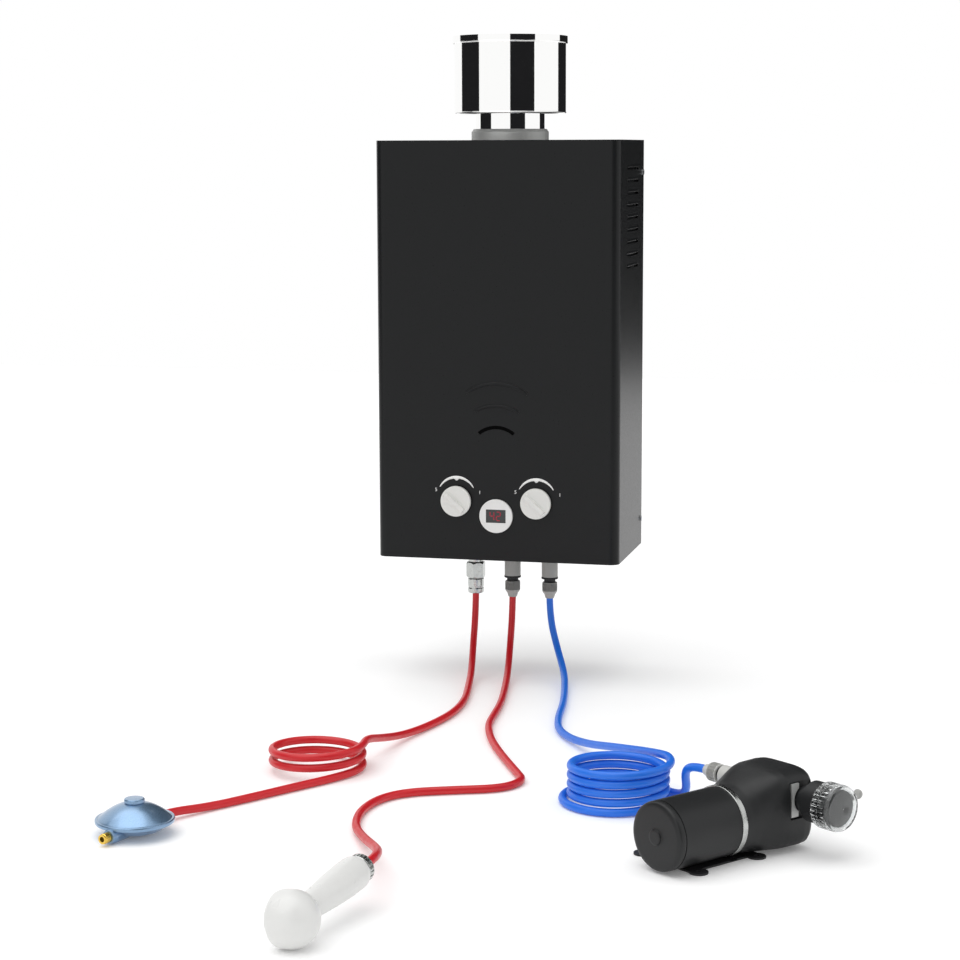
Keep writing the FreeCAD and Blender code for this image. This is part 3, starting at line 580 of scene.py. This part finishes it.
def crescent(name, x):
    """A strip inside an arc, thick in the middle: 0.9 + 2.3 (1 - (a / a_end)^2) + bump."""
    angle = np.radians(np.linspace(-SCALE_HALF, SCALE_HALF, 81))
    bump = 2.3 * smooth(1.15 - np.abs(angle) * SCALE_RADIUS / 3.6)
    thick = 0.9 + 2.3 * (1 - (angle / angle[-1]) ** 2) + bump
    radius = np.stack([angle * 0 + SCALE_RADIUS, SCALE_RADIUS - thick])
    grid = np.stack([x + radius * np.sin(angle), radius * 0 + CASE_FRONT - INK / 2,
                     KNOB_HEIGHT + SCALE_LIFT + radius * np.cos(angle)], -1)
    return thicken(surface(name, grid, print_white, wrap=False), INK)


def number(name, text, x, z):
    """A printed numeral, made a mesh and stood upright on the case's front."""
    letter = bpy.data.curves.new(name, "FONT")
    letter.body = text
    letter.size = NUMERAL * TYPE_TO_NUMERAL * MM
    letter.align_x = "CENTER"
    letter.extrude = INK / 2 * MM
    loose = bpy.data.objects.new(name, letter)
    scene.collection.objects.link(loose)
    bpy.context.view_layer.update()
    graph = bpy.context.evaluated_depsgraph_get()
    mesh = bpy.data.meshes.new_from_object(loose.evaluated_get(graph))
    bpy.data.objects.remove(loose)
    spots = np.zeros(len(mesh.vertices) * 3)
    mesh.vertices.foreach_get("co", spots)
    flat = spots.reshape(-1, 3)
    upright = np.stack([flat[:, 0] + x * MM, (CASE_FRONT - INK / 2) * MM - flat[:, 2],
                        flat[:, 1] + z * MM], -1)
    mesh.vertices.foreach_set("co", upright.ravel())
    return settle(name, mesh, print_white)


for side, word in ((-1, "gas"), (1, "water")):
    middle = side * KNOB_SPREAD
    print(size_of(crescent(word + "_scale", middle)))
    number(word + "_scale_high", "5", middle - 25, KNOB_HEIGHT + 10.6)
    number(word + "_scale_low", "1", middle + 28, KNOB_HEIGHT + 8.8)

# %% [markdown]
# The display shows two digits made of straight strips. Each strip is a bar with
# pointed ends, and a digit is some of its seven places.

# %% Display digits
DIGIT_HIGH, DIGIT_WIDE, DIGIT_STEP, DIGIT_SHIFT = 11.4, 5.9, 7.6, 0.8
STRIP, STRIP_GAP, STRIP_DEPTH = 1.3, 0.12, 0.16
DIAL_HEIGHT, DIGIT_PLANE = -408.5, -163.05
PLACES = {"top": ((0, 2), (1, 2)), "upper_left": ((0, 1), (0, 2)), "upper_right": ((1, 1), (1, 2)),
          "middle": ((0, 1), (1, 1)), "lower_left": ((0, 0), (0, 1)), "lower_right": ((1, 0), (1, 1)),
          "bottom": ((0, 0), (1, 0))}
DIGITS = {"4": ("upper_left", "upper_right", "middle", "lower_right"),
          "2": ("top", "upper_right", "middle", "lower_left", "bottom")}


def strips(text):
    """Six-sided bars for each lit place, as points in mm and faces."""
    half_high = (DIGIT_HIGH - STRIP) / 2
    points, faces = [], []
    for column, digit in enumerate(text):
        left = column * DIGIT_STEP - DIGIT_STEP / 2 - DIGIT_WIDE / 2 + STRIP / 2 - DIGIT_SHIFT
        for place_name in DIGITS[digit]:
            ends = np.array(PLACES[place_name], float) * (DIGIT_WIDE - STRIP, half_high)
            ends += (left, -half_high)
            along = (ends[1] - ends[0]) / np.linalg.norm(ends[1] - ends[0])
            side = np.array([-along[1], along[0]]) * STRIP / 2
            tip = along * STRIP * 0.5
            start, stop = ends[0] + along * STRIP_GAP, ends[1] - along * STRIP_GAP
            flat = np.array([start, start + tip + side, stop - tip + side, stop,
                             stop - tip - side, start + tip - side])
            faces.append(list(range(len(points), len(points) + len(flat))))
            points += np.insert(flat + (0, DIAL_HEIGHT), 1, DIGIT_PLANE, axis=1).tolist()
    return np.array(points), faces


digits = settle("display_digits", mesh_of("display_digits", *strips("42")), lit_red)
print(size_of(thicken(digits, STRIP_DEPTH)))

# %% [markdown]
# The ring round the display is a moulding with a soft outer edge, which the sharp
# solid can't show, so a thin rounded band is laid round it.

# %% Display ring
DIAL_RADIUS, RING_BORE, RING_FRONT = 19.7, 17.6, -163.5
band = eased([(RING_BORE, -0.15), (DIAL_RADIUS - 0.3, -0.15), (DIAL_RADIUS + 0.25, 0.5),
              (DIAL_RADIUS + 0.25, 3.4), (RING_BORE, 3.4)], 0.6)
print(size_of(lathe("display_ring", np.vstack([band, band[:1]]), (0, RING_FRONT, DIAL_HEIGHT),
                    (0, 1, 0), white_abs)))

# %% [markdown]
# The louvres down each side are pressed out of the sheet: every slot has a hood above
# it that stands a little proud, and throws the rain off. A black sheet behind the slots
# is painted shade: it keeps the lit inside of the case from showing through them.

# %% Louvre hoods
LOUVRES, LOUVRE_TOP, LOUVRE_PITCH = 9, -5, 14.3
LOUVRE_MIDDLE, LOUVRE_HALF = -74, 36.4
HOOD_PROUD, HOOD_HIGH, SHADE_SHEET_SIDE = 0.5, 2.6, 142


def hood(across, along):
    """Height of a pressed hood: full at its lower lip, sloping back to the sheet."""
    return HOOD_PROUD * smooth(1 - across) * smooth((1 - np.abs(along)) * 9)


across, along = np.meshgrid(np.linspace(0, 1, 9), np.linspace(-1, 1, 61), indexing="ij")
deep, tall = np.meshgrid(np.linspace(-113, -35, 5), np.linspace(-125, 1, 5))
for side, word in ((-1, "left"), (1, "right")):
    for step in range(LOUVRES):
        lip = LOUVRE_TOP - LOUVRE_PITCH * step + 1.5
        grid = np.stack([side * (CASE_SIDE + hood(across, along)),
                         LOUVRE_MIDDLE + LOUVRE_HALF * along, lip + HOOD_HIGH * across - 0.1], -1)
        piece = surface("louvre_hood_%s_%d" % (word, step), grid, powder_coat, wrap=False)
        thicken(piece, 0.3)
    # A black sheet just inside each side: painted shade, so that the slots read dark.
    shade_sheet = np.stack([deep * 0 + side * SHADE_SHEET_SIDE, deep, tall], -1)
    thicken(surface("louvre_shade_sheet_%s" % word, shade_sheet, powder_coat, wrap=False), 0.5)
print(LOUVRES, "hoods on each side, each like", size_of(piece))

# %% [markdown]
# Two shallow arcs are pressed outwards in the front of the case, above the sight
# slot. The press leaves rounded shoulders, which catch a thin line of light each.

# %% Pressed arcs
ARC_PROUD = 1.4


def pressed_arc(name, radius, half_chord, wide, top):
    """A bead bent along an arc: it stands 1.4 (1 - (u / w)^4) proud across its width,
    and fades at its ends."""
    turn = np.linspace(-1, 1, 73)[:, None]
    over = np.linspace(-1, 1, 15)[None]
    bow = radius + over * wide / 2 * (1 - turn ** 8) ** 0.5
    angle = turn * math.asin(half_chord / radius)
    proud = ARC_PROUD * (1 - over ** 4) * smooth((1 - np.abs(turn)) * 9)
    grid = np.stack(np.broadcast_arrays(bow * np.sin(angle), CASE_FRONT + 0.02 - proud,
                                        top - radius + bow * np.cos(angle)), -1)
    return surface(name, grid, powder_coat, wrap=False)


print(size_of(pressed_arc("upper_pressed_arc", 61.8, 37.4, 4.1, -252.5)))
print(size_of(pressed_arc("lower_pressed_arc", 51.8, 27.4, 3.7, -278.5)))

# %% [markdown]
# The rain cap is rolled sheet. Its edges are beaded so that they aren't sharp, and its
# two ends meet in a folded seam at the back.

# %% Beads and seam of the rain cap
FLUE = np.array([0, -85, 0])
SEAM_RADIUS = 65.2


def bead(name, radius, height, thick):
    """A ring of round section about the flue: radius + t cos b, height + t sin b."""
    around = np.linspace(0, 2 * np.pi, 14)
    profile = np.column_stack([radius + thick * np.cos(around), height + thick * np.sin(around)])
    return lathe(name, profile, FLUE, (0, 0, 1), mirror_steel, count=160)


bead("cap_drum_bead", 65.1, 60.2, 0.9)
bead("cap_lid_bead", 66.7, 140.8, 1.0)
bead("cap_neck_bead", 40.1, 119.6, 0.9)
drum_seam = eased([(0, 0), (2.2, 0), (2.2, 1), (-2.2, 1), (-2.2, 0), (0, 0)], 0.5)
rise = np.linspace(61, 139, 8)[:, None]
grid = np.stack(np.broadcast_arrays(drum_seam[None, :, 0],
                                    FLUE[1] + SEAM_RADIUS + drum_seam[None, :, 1], rise), -1)
print(size_of(surface("cap_drum_seam", grid, mirror_steel)))

# %% [markdown]
# Under the case the gas joint is a plated hexagon nut above a crimped ferrule. A
# hexagon turned in a lathe gets its corners taken off at each end, which is what makes
# the curved shoulders on a real nut. A plain collar above the nut covers its thread.

# %% Gas joint
GAS_PORT = np.array([-PORT_STEP, PORT_DEPTH, 0])
NUT_FLATS, NUT_HEIGHT = 20.9, 19


def hexagon(flats, height, chamfer):
    """Radius of a nut: flats / 2 / cos of the angle from the nearest flat, cut by a cone
    at both ends."""
    def ripple(at_height, angle):
        from_flat = (angle + np.pi / 6) % (np.pi / 3) - np.pi / 6
        wide = flats / 2 / np.cos(from_flat)
        end = np.minimum(at_height, height - at_height)
        return np.minimum(wide, flats / 2 - 0.2 + chamfer * np.maximum(end, 0)) - flats / 2
    return ripple


def gas_fitting(name, profile, foot, **more):
    """A plated piece turned about the gas port, with its foot at a height."""
    piece = lathe(name, profile, GAS_PORT + (0, 0, foot), (0, 0, 1), plated_brass, **more)
    print(size_of(piece))


height = np.concatenate([[0], np.linspace(0.01, 2.4, 7), np.linspace(3, 16, 5),
                         np.linspace(16.6, 18.99, 7), [NUT_HEIGHT]])
nut = np.column_stack([np.full(len(height), NUT_FLATS / 2), height])
nut = np.vstack([[7.2, 0], nut, [7.2, NUT_HEIGHT], [7.2, 0]])
gas_fitting("gas_nut", nut, -498.5, count=180, ripple=hexagon(NUT_FLATS, NUT_HEIGHT, 1.1),
            stands_for=("gas_hex_nut",))
collar = eased([(7.05, 0), (8.4, 0), (8.8, 0.6), (8.8, 16.9), (7.05, 17)], 0.4)
gas_fitting("gas_collar", collar, -479.4)
ferrule = eased([(0, 0), (7.4, 0), (9.3, 0.9), (9.7, 3), (9.7, 6), (9.3, 7), (9.3, 8), (9.7, 9),
                 (9.7, 17.6), (8.8, 19.4), (0, 19.4)], 0.5)
gas_fitting("gas_ferrule", ferrule, -518, stands_for=("gas_hose_ferrule",))

# %% [markdown]
# The water hoses join with moulded nuts. Ribs round the nut give fingers a hold, and
# a smooth cone below carries the hose's tail. Under the case, a rubber lip closes the
# joint between each coupling and its nut.

# %% Ribbed hose nuts
NUT_RIBS, NUT_RADIUS = 16, 9.1
NUT_FACE = -496.92 - 4


def ribbed_nut(name, at, way, length, material, **more):
    """A ribbed barrel with a cone after it, along its direction from the seal."""
    profile = eased([(0, 0), (8.2, 0), (NUT_RADIUS, 0.8), (NUT_RADIUS, length - 1.4),
                     (8.6, length), (6.6, length + 2.6), (5.2, length + 7.5), (0, length + 7.5)],
                    0.6)
    profile = with_rows(profile, NUT_RADIUS, 1.4, length - 2, 6, 1.3)
    return lathe(name, profile, at, way, material, NUT_RIBS * 10,
                 ribs(NUT_RIBS, 0.6, 1.0, length - 1.5), **more)


ribbed_nut("hot_hose_nut", (0, PORT_DEPTH, NUT_FACE), (0, 0, -1), 12.3, grey_nylon,
           stands_for=("hose_nuts",))
cold_nut = ribbed_nut("cold_hose_nut", (PORT_STEP, PORT_DEPTH, NUT_FACE), (0, 0, -1), 12.3,
                      grey_nylon)
pump_nut = ribbed_nut("pump_outlet_nut", on_pump(OUTLET + (0, 34.12, 0)),
                      turned_about((0, 1, 0), PUMP_TURN), 12.2, pale_nylon,
                      stands_for=("pump_hose_nut",))
print(size_of(cold_nut))

# %% Rubber lips
lip = eased([(7, 0), (9.9, 0), (10.15, 0.6), (10.15, 2), (9.8, 2.6), (9.5, 2.6), (9.5, 0.4),
             (7, 0.4), (7, 0)], 0.3)
for word, x in (("hot", 0), ("cold", PORT_STEP)):
    print(size_of(lathe(word + "_coupling_lip", lip, (x, PORT_DEPTH, -496.9), (0, 0, 1), rubber)))

# %% [markdown]
# The regulator is two pressed and lacquered shells clamped at a flat rim. The upper
# shell is a low dome that swells towards its middle, with a small vent cap on top.

# %% Regulator
RIM, DOME_RADIUS, DOME_EYE = 36.8, 34.2, 9.2
DOME_FOOT, DOME_RISE = 16.4, 13.9


def on_regulator_lathe(name, profile, **more):
    """A lacquered profile turned about the regulator's upright axis."""
    return lathe(name, profile, REGULATOR_SPOT, (0, 0, 1), blue_lacquer, 128, **more)


radius = DOME_RADIUS - 25 * np.linspace(0, 1, 22)
swell = (1 - (radius / DOME_RADIUS) ** 2) / (1 - (DOME_EYE / DOME_RADIUS) ** 2)
dome = np.column_stack([radius, DOME_FOOT + DOME_RISE * swell])
dome = np.vstack([[0, 15.52], [RIM - 2.2, 15.52], [RIM - 2.3, 16.1], dome, [9.0, 30.3], [0, 30.3]])
dome_skin = on_regulator_lathe("regulator_dome_shell", dome, stands_for=("regulator_dome",))
rim_roll = eased([(RIM - 3, 12.2), (RIM - 0.2, 12.0), (RIM + 0.35, 13), (RIM + 0.35, 15.2),
                  (RIM - 0.3, 16.2), (RIM - 2.4, 16.1), (RIM - 3, 15.4), (RIM - 3, 12.2)], 0.6)
rim_piece = on_regulator_lathe("regulator_rim_roll", rim_roll)
vent = eased([(0, 30.32), (9.2, 30.32), (9.6, 31), (9.6, 33.6), (8.8, 34.6), (0, 34.8)], 0.5)
vent_cap = on_regulator_lathe("regulator_vent_cap", vent, ripple=ribs(20, 0.35, 30.8, 33.9),
                              stands_for=("regulator_cap",))
for piece in (dome_skin, rim_piece, vent_cap):
    print(size_of(piece))

# %% [markdown]
# The hand shower is one hollow moulding: a round handle that flows into a ball-shaped
# head. Two turned shapes are made into one by a voxel remesh, and smoothing it rounds
# the inside corner where they meet.

# %% Hand shower
BALL = 24
FACE = 0.62 * BALL
FACE_WAY = np.array([-0.97, 0.2, -0.12])
FACE_WAY = FACE_WAY / np.linalg.norm(FACE_WAY)
handle = eased([(0, 6), (13.4, 6), (15, 8.4), (15, 32), (13.4, 60), (11.6, 82), (11.6, REACH - 14),
                (11, REACH - 4), (0, REACH - 4)], 7, 7)
bulge = np.linspace(0, np.pi * 0.5, 16)
head = np.vstack([np.column_stack([BALL * np.sin(bulge), -0.95 * BALL * np.cos(bulge)]),
                  eased([(BALL, 0.02 * BALL), (BALL, 0.34 * BALL), (0.93 * BALL, 0.56 * BALL),
                         (0.8 * BALL, FACE), (0, FACE)], 3)])
handle_piece = lathe("shower_body", handle, SHOWER_NUT, SHOWER_WAY, white_abs,
                     stands_for=("shower_handle",))
head_piece = lathe("shower_ball", head, SHOWER_HEAD, FACE_WAY, white_abs)
joint = bmesh.new()
joint.from_mesh(handle_piece.data)
joint.from_mesh(head_piece.data)
joint.to_mesh(handle_piece.data)
joint.free()
bpy.data.objects.remove(head_piece)
remesh = handle_piece.modifiers.new("one_skin", "REMESH")
remesh.mode = "VOXEL"
remesh.voxel_size = 1.5 * MM
remesh.use_smooth_shade = True
soften = handle_piece.modifiers.new("soften", "SMOOTH")
soften.factor = 0.5
soften.iterations = 16
finer = handle_piece.modifiers.new("finer", "SUBSURF")
finer.levels = 1
wear(keep_shape(handle_piece), white_abs)
print(size_of(handle_piece))

# %% [markdown]
# Water leaves through a plate of small soft nozzles, set in rings. Each nozzle is a
# blunt cone with its foot in the slightly domed plate.

# %% Nozzles of the hand shower
plate = eased([(0, FACE + 0.02), (0.74 * BALL, FACE + 0.02), (0.72 * BALL, FACE + 1.6),
               (0.55 * BALL, FACE + 2.8), (0, FACE + 3.2)], 1.2)
face_plate = lathe("shower_plate", plate, SHOWER_HEAD, FACE_WAY, white_abs,
                   stands_for=("shower_face",))
ring_of, turn_of = np.zeros(1), np.zeros(1)
for count, ring in ((6, 4.2), (12, 8.4), (18, 12.2)):
    ring_of = np.concatenate([ring_of, np.full(count, ring)])
    turn_of = np.concatenate([turn_of, np.arange(count) / count * 2 * np.pi])
foot = FACE + 2.7 - 0.012 * ring_of ** 2
tip = np.array([(0.95, 0), (0.85, 0.8), (0.6, 1.2), (0, 1.3)])
around = np.linspace(0, 2 * np.pi, 10)
cones = [(ring_of * np.cos(turn_of))[:, None, None] + tip[:, :1] * np.cos(around),
         (ring_of * np.sin(turn_of))[:, None, None] + tip[:, :1] * np.sin(around),
         foot[:, None, None] + tip[:, 1:]]
cones = np.stack(np.broadcast_arrays(*cones), -1)
grid = (cones @ facing(FACE_WAY) + SHOWER_HEAD).reshape(-1, len(around), 3)
within = np.arange(len(grid) - 1) % len(tip) != len(tip) - 1
quads = quads_of(grid, False)[within].reshape(-1, 4).tolist()
nozzle_piece = settle("shower_nozzles", mesh_of("shower_nozzles", grid, quads), pale_nylon)
print(len(foot), "nozzles;", size_of(face_plate))

# %% [markdown]
# A plated collar nut holds the hose to the handle. Its deep, rounded knurls are cut so
# that wet fingers can turn it.

# %% Collar nut of the hand shower
collar = eased([(0, -6), (6, -6), (8.4, -5), (9.4, -3), (12.4, -1.6), (12.6, -1), (12.6, 5),
                (12, 5.9), (0, 5.98)], 0.7)
collar = with_rows(collar, 12.6, -0.2, 4.4, 6, -0.3)
collar_piece = lathe("shower_collar_nut", collar, SHOWER_NUT, SHOWER_WAY, plated_brass, 200,
                     ribs(20, 1.0, -0.8, 4.9), stands_for=("shower_nut",))
print(size_of(collar_piece))

# %% [markdown]
# The pump's head is a moulding that starts as round as the motor and swells into a box
# with rounded corners. Its sections are superellipses, |y/a|^n + |z/b|^n = 1, and n
# grows from 2, which is a circle, to 4.6, which is nearly square.

# %% Pump head
KNOTS = np.array([82, 90, 100, 112, 122, 130, 150, 157, 161, 163])
HALF = np.array([31.3, 31.9, 33.2, 35.2, 36.5, 37, 37, 36.4, 34.6, 32.4])
TOP = np.array([31.3, 32.4, 35.2, 38.8, 41.2, 42, 42, 41.4, 39.6, 37.4])
POWER = np.array([2.0, 2.15, 2.5, 3.1, 3.8, 4.3, 4.6, 4.6, 4.3, 4.0])
BOTTOM = np.array([31.3, 31.4, 31.5, 31.5, 31.5, 31.5, 31.5, 31, 29.4, 27.2])
station = np.concatenate([np.linspace(82.02, 150, 46), np.linspace(151, 163, 22)])
half, top, power, bottom = (np.interp(station, KNOTS, row)[:, None]
                            for row in (HALF, TOP, POWER, BOTTOM))
turn = np.linspace(0, 2 * np.pi, 160, endpoint=False)[None]
side = np.sign(np.cos(turn)) * np.abs(np.cos(turn)) ** (2 / power)
lift = np.sign(np.sin(turn)) * np.abs(np.sin(turn)) ** (2 / power)
local = np.stack(np.broadcast_arrays(station[:, None], half * side,
                                     (top - bottom) / 2 + (top + bottom) / 2 * lift), -1)
middle_start = np.broadcast_to(np.array([82.02, 0, 0]), local[:1].shape)
middle_end = np.broadcast_to(np.array([163, 0, 5]), local[:1].shape)
rings = np.concatenate([middle_start, local, 0.5 * local[-1:] + 0.5 * middle_end, middle_end])
head_shell = surface("pump_head_shell", on_pump(rings), black_polymer, stands_for=("pump_head",))
print(size_of(head_shell))

# %% [markdown]
# Each of the pump's two ports lies in a recess, so that the fitting's flat end has a
# flat wall to seal on. A box is cut out of either side of the skin.

# %% Recesses of the pump head
RECESS, PORT_BACK = (28, 8, 34), 5
for way in (-1, 1):
    cutter = bpy.data.meshes.new("recess")
    box = bmesh.new()
    bmesh.ops.create_cube(box, size=1)
    box.to_mesh(cutter)
    box.free()
    corner = np.zeros(24)
    cutter.vertices.foreach_get("co", corner)
    corner = corner.reshape(-1, 3) * RECESS + (OUTLET[0] - PORT_BACK, way * OUTLET[1], OUTLET[2])
    cutter.vertices.foreach_set("co", (on_pump(corner) * MM).ravel())
    tool = bpy.data.objects.new("recess", cutter)
    scene.collection.objects.link(tool)
    cut = head_shell.modifiers.new("recess", "BOOLEAN")
    cut.object = tool
    cut.operation = "DIFFERENCE"
    keep_shape(head_shell)
    bpy.data.objects.remove(tool)
wear(head_shell, black_polymer)
head_shell.data.set_sharp_from_angle(angle=SHARP)
print("pump head now has", len(head_shell.data.polygons), "faces")

# %% [markdown]
# The motor is a tube with a moulded cap on its end. The cap has a raised hub over the
# shaft's bearing, and a step where it meets the tube. A bright band covers the seam
# between the motor and the head.

# %% Pump motor
ALONG = turned_about((1, 0, 0), PUMP_TURN)
CORE = 31.5
end_cap = eased([(0, -2), (6.4, -2), (7.1, -1.4), (7.2, -0.3), (8, 0), (CORE - 4, 0.1),
                 (CORE - 0.6, 1.4), (CORE, 4.4), (CORE, 8), (0, 8)], 1.6, 6)
strap = eased([(CORE - 1, 76.02), (CORE + 0.9, 76.02), (CORE + 1.05, 76.8), (CORE + 1.05, 81.2),
               (CORE + 0.9, 82), (CORE - 1, 82), (CORE - 1, 76.02)], 0.5)
for name, profile, material, node in (("motor_end_cap", end_cap, black_polymer, "pump_end_cap"),
                                      ("motor_strap", strap, plated_brass, "pump_band")):
    print(size_of(lathe(name, profile, PUMP_SPOT, ALONG, material, 128, stands_for=(node,))))

# %% [markdown]
# The strainer sits on the pump's inlet. Its clear bowl screws on, so its edge is
# ribbed, and a cup of steel mesh in it keeps grit out of the pump. The mesh is drawn
# nearly black, as painted shade for the dark inside of the bowl. A small barb stands
# at the side of the bowl, for a narrow tube.

# %% Strainer
INWARD = turned_about((0, -1, 0), PUMP_TURN)
BOWL_RADIUS, BOWL_RIBS = 21.3, ribs(30, 0.8, 25.5, 40)
bowl = eased([(17.7, 24.4), (BOWL_RADIUS, 24.4), (BOWL_RADIUS, 41), (20.2, 44.6), (18, 46),
              (0, 46), (0, 43.6), (17.2, 43.4), (19, 41), (19.2, 31), (17.7, 31), (17.7, 24.4)], 0.9)
bowl = with_rows(bowl, BOWL_RADIUS, 26, 39, 5, 25.6)
outside = np.arange(len(bowl)) < np.argmax(bowl[:, 0] < 0.01)


def outer_ribs(height, angle):
    """The ribs, for the rows of the profile that lie on the outside."""
    return BOWL_RIBS(height, angle) * outside[:, None]


print(size_of(lathe("strainer_bowl_clear", bowl, on_pump(INLET), INWARD, clear_styrene, 240,
                    outer_ribs, body="bowl", stands_for=("strainer_bowl",))))
barb = eased([(2.3, 2.4), (3.6, 2.4), (3.6, 8.6), (4.5, 9.8), (4.5, 11), (3.6, 13), (2.3, 13),
              (2.3, 2.4)], 0.4)
barb_piece = lathe("strainer_barb", barb, on_pump(INLET + (18.6, -36, 7)), ALONG, grey_nylon, 48,
                   body="bowl")
# The screen's near-black colour is partly its steel mesh and partly painted shade inside the bowl.
screen_steel_with_painted_shade = grain(finish("woven_steel_screen_painted_shade", "232526", 0.45, Metallic=0.6), 0.6, 0.05,
                     (0.35, 0.6))
screen = eased([(0, 29.1), (17.2, 29.1), (17.2, 40.2), (16, 41.4), (0, 41.4)], 0.8)
print(size_of(lathe("strainer_screen_painted_shade", screen, on_pump(INLET), INWARD, screen_steel_with_painted_shade)))

# %% [markdown]
# The photograph shows all three hoses from end to end.

print("three hoses, one curve each")

# %% [markdown]
# The heater stands over a white floor, which glows very faintly, so that it stays as
# white as a studio's paper under the shadow of the case.

# %% Floor
floor_mesh = bpy.data.meshes.new("floor")
reach, level = 3.5, FLOOR * MM - 0.0001
floor_mesh.from_pydata([(-reach, -reach, level), (reach, -reach, level), (reach, reach, level),
                        (-reach, reach, level)], [], [(0, 1, 2, 3)])
floor = bpy.data.objects.new("floor", floor_mesh)
scene.collection.objects.link(floor)
floor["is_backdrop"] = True
WHITE, NEAR_BLACK = (1, 1, 1, 1), (0.012, 0.012, 0.013, 1)
wear(floor, finish("white_studio_floor", "f9f9f9", 0.8, Emission_Color=WHITE,
                   Emission_Strength=0.1))
print("floor", 2 * reach, "m wide")

# %% [markdown]
# The room gives soft, even light from every side. Polished metal only looks polished
# when it has something dark to show, so the surroundings seen in reflections have
# three upright dark panels, as a studio would stand black boards round a product. They
# end below the ceiling, and only mirrors see them: the light on the parts stays even.

# %% World
world = bpy.data.worlds.new("studio")
scene.world = world
world.use_nodes = True
tree = world.node_tree
tree.nodes.clear()
AMBIENT, PANEL_TOP = 0.7, 0.87
PANELS = ((-105.6, -53.7), (13.0, 64.0), (130.5, 193.0))


def reckon(operation, *values):
    """One step of arithmetic in the world's node tree."""
    return add(tree, "ShaderNodeMath", dict(enumerate(values)), operation=operation).outputs[0]


def glow(colour, strength):
    """Light from the surroundings, of one colour or of another node's."""
    return add(tree, "ShaderNodeBackground", {"Color": colour, "Strength": strength}).outputs[0]


def either(factor, first, second):
    """The first light where the factor is 0, and the second where it is 1."""
    return add(tree, "ShaderNodeMixShader", {0: factor, 1: first, 2: second}).outputs[0]


way = add(tree, "ShaderNodeTexCoord").outputs["Generated"]
way = add(tree, "ShaderNodeSeparateXYZ", {"Vector": way})
bearing = reckon("ARCTAN2", way.outputs["X"], reckon("MULTIPLY", way.outputs["Y"], -1.0))
dark = 0.0
for low, high in PANELS:
    for shift in (0, 360) if high > 180 else (0,):
        middle, half_turn = math.radians((low + high) / 2 - shift), math.radians((high - low) / 2)
        dark = reckon("MAXIMUM", reckon("COMPARE", bearing, middle, half_turn), dark)
dark = reckon("MULTIPLY", dark, reckon("COMPARE", way.outputs["Z"], 0.0, PANEL_TOP))
shown = add(tree, "ShaderNodeMix", {"Factor": dark, "A": WHITE, "B": NEAR_BLACK},
            data_type="RGBA").outputs["Result"]
path = add(tree, "ShaderNodeLightPath").outputs
mixed = either(path["Is Glossy Ray"], glow(WHITE, AMBIENT), glow(shown, 1.0))
straight = reckon("MAXIMUM", path["Is Camera Ray"], path["Is Transmission Ray"])
mixed = either(straight, mixed, glow(WHITE, 1.0))
add(tree, "ShaderNodeOutputWorld", {"Surface": mixed})
print(len(PANELS), "dark panels round the room")

# %% [markdown]
# One broad lamp stands high up, in front and a little to the left, like a large window.
# It is so wide that its shadows have no edge, only a soft shade under each piece.

# %% Lamp
LAMP_WIDTH, LAMP_TILT = 70, (8, -14, 0)
lamp = bpy.data.objects.new("window_light", bpy.data.lights.new("window_light", "SUN"))
lamp.data.angle = math.radians(LAMP_WIDTH)
lamp.data.energy = 1.4
lamp.rotation_euler = [math.radians(a) for a in LAMP_TILT]
scene.collection.objects.link(lamp)
print("lamp", LAMP_WIDTH, "degrees wide")

# %% Finish
scene.view_settings.view_transform = "Standard"
low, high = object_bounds()
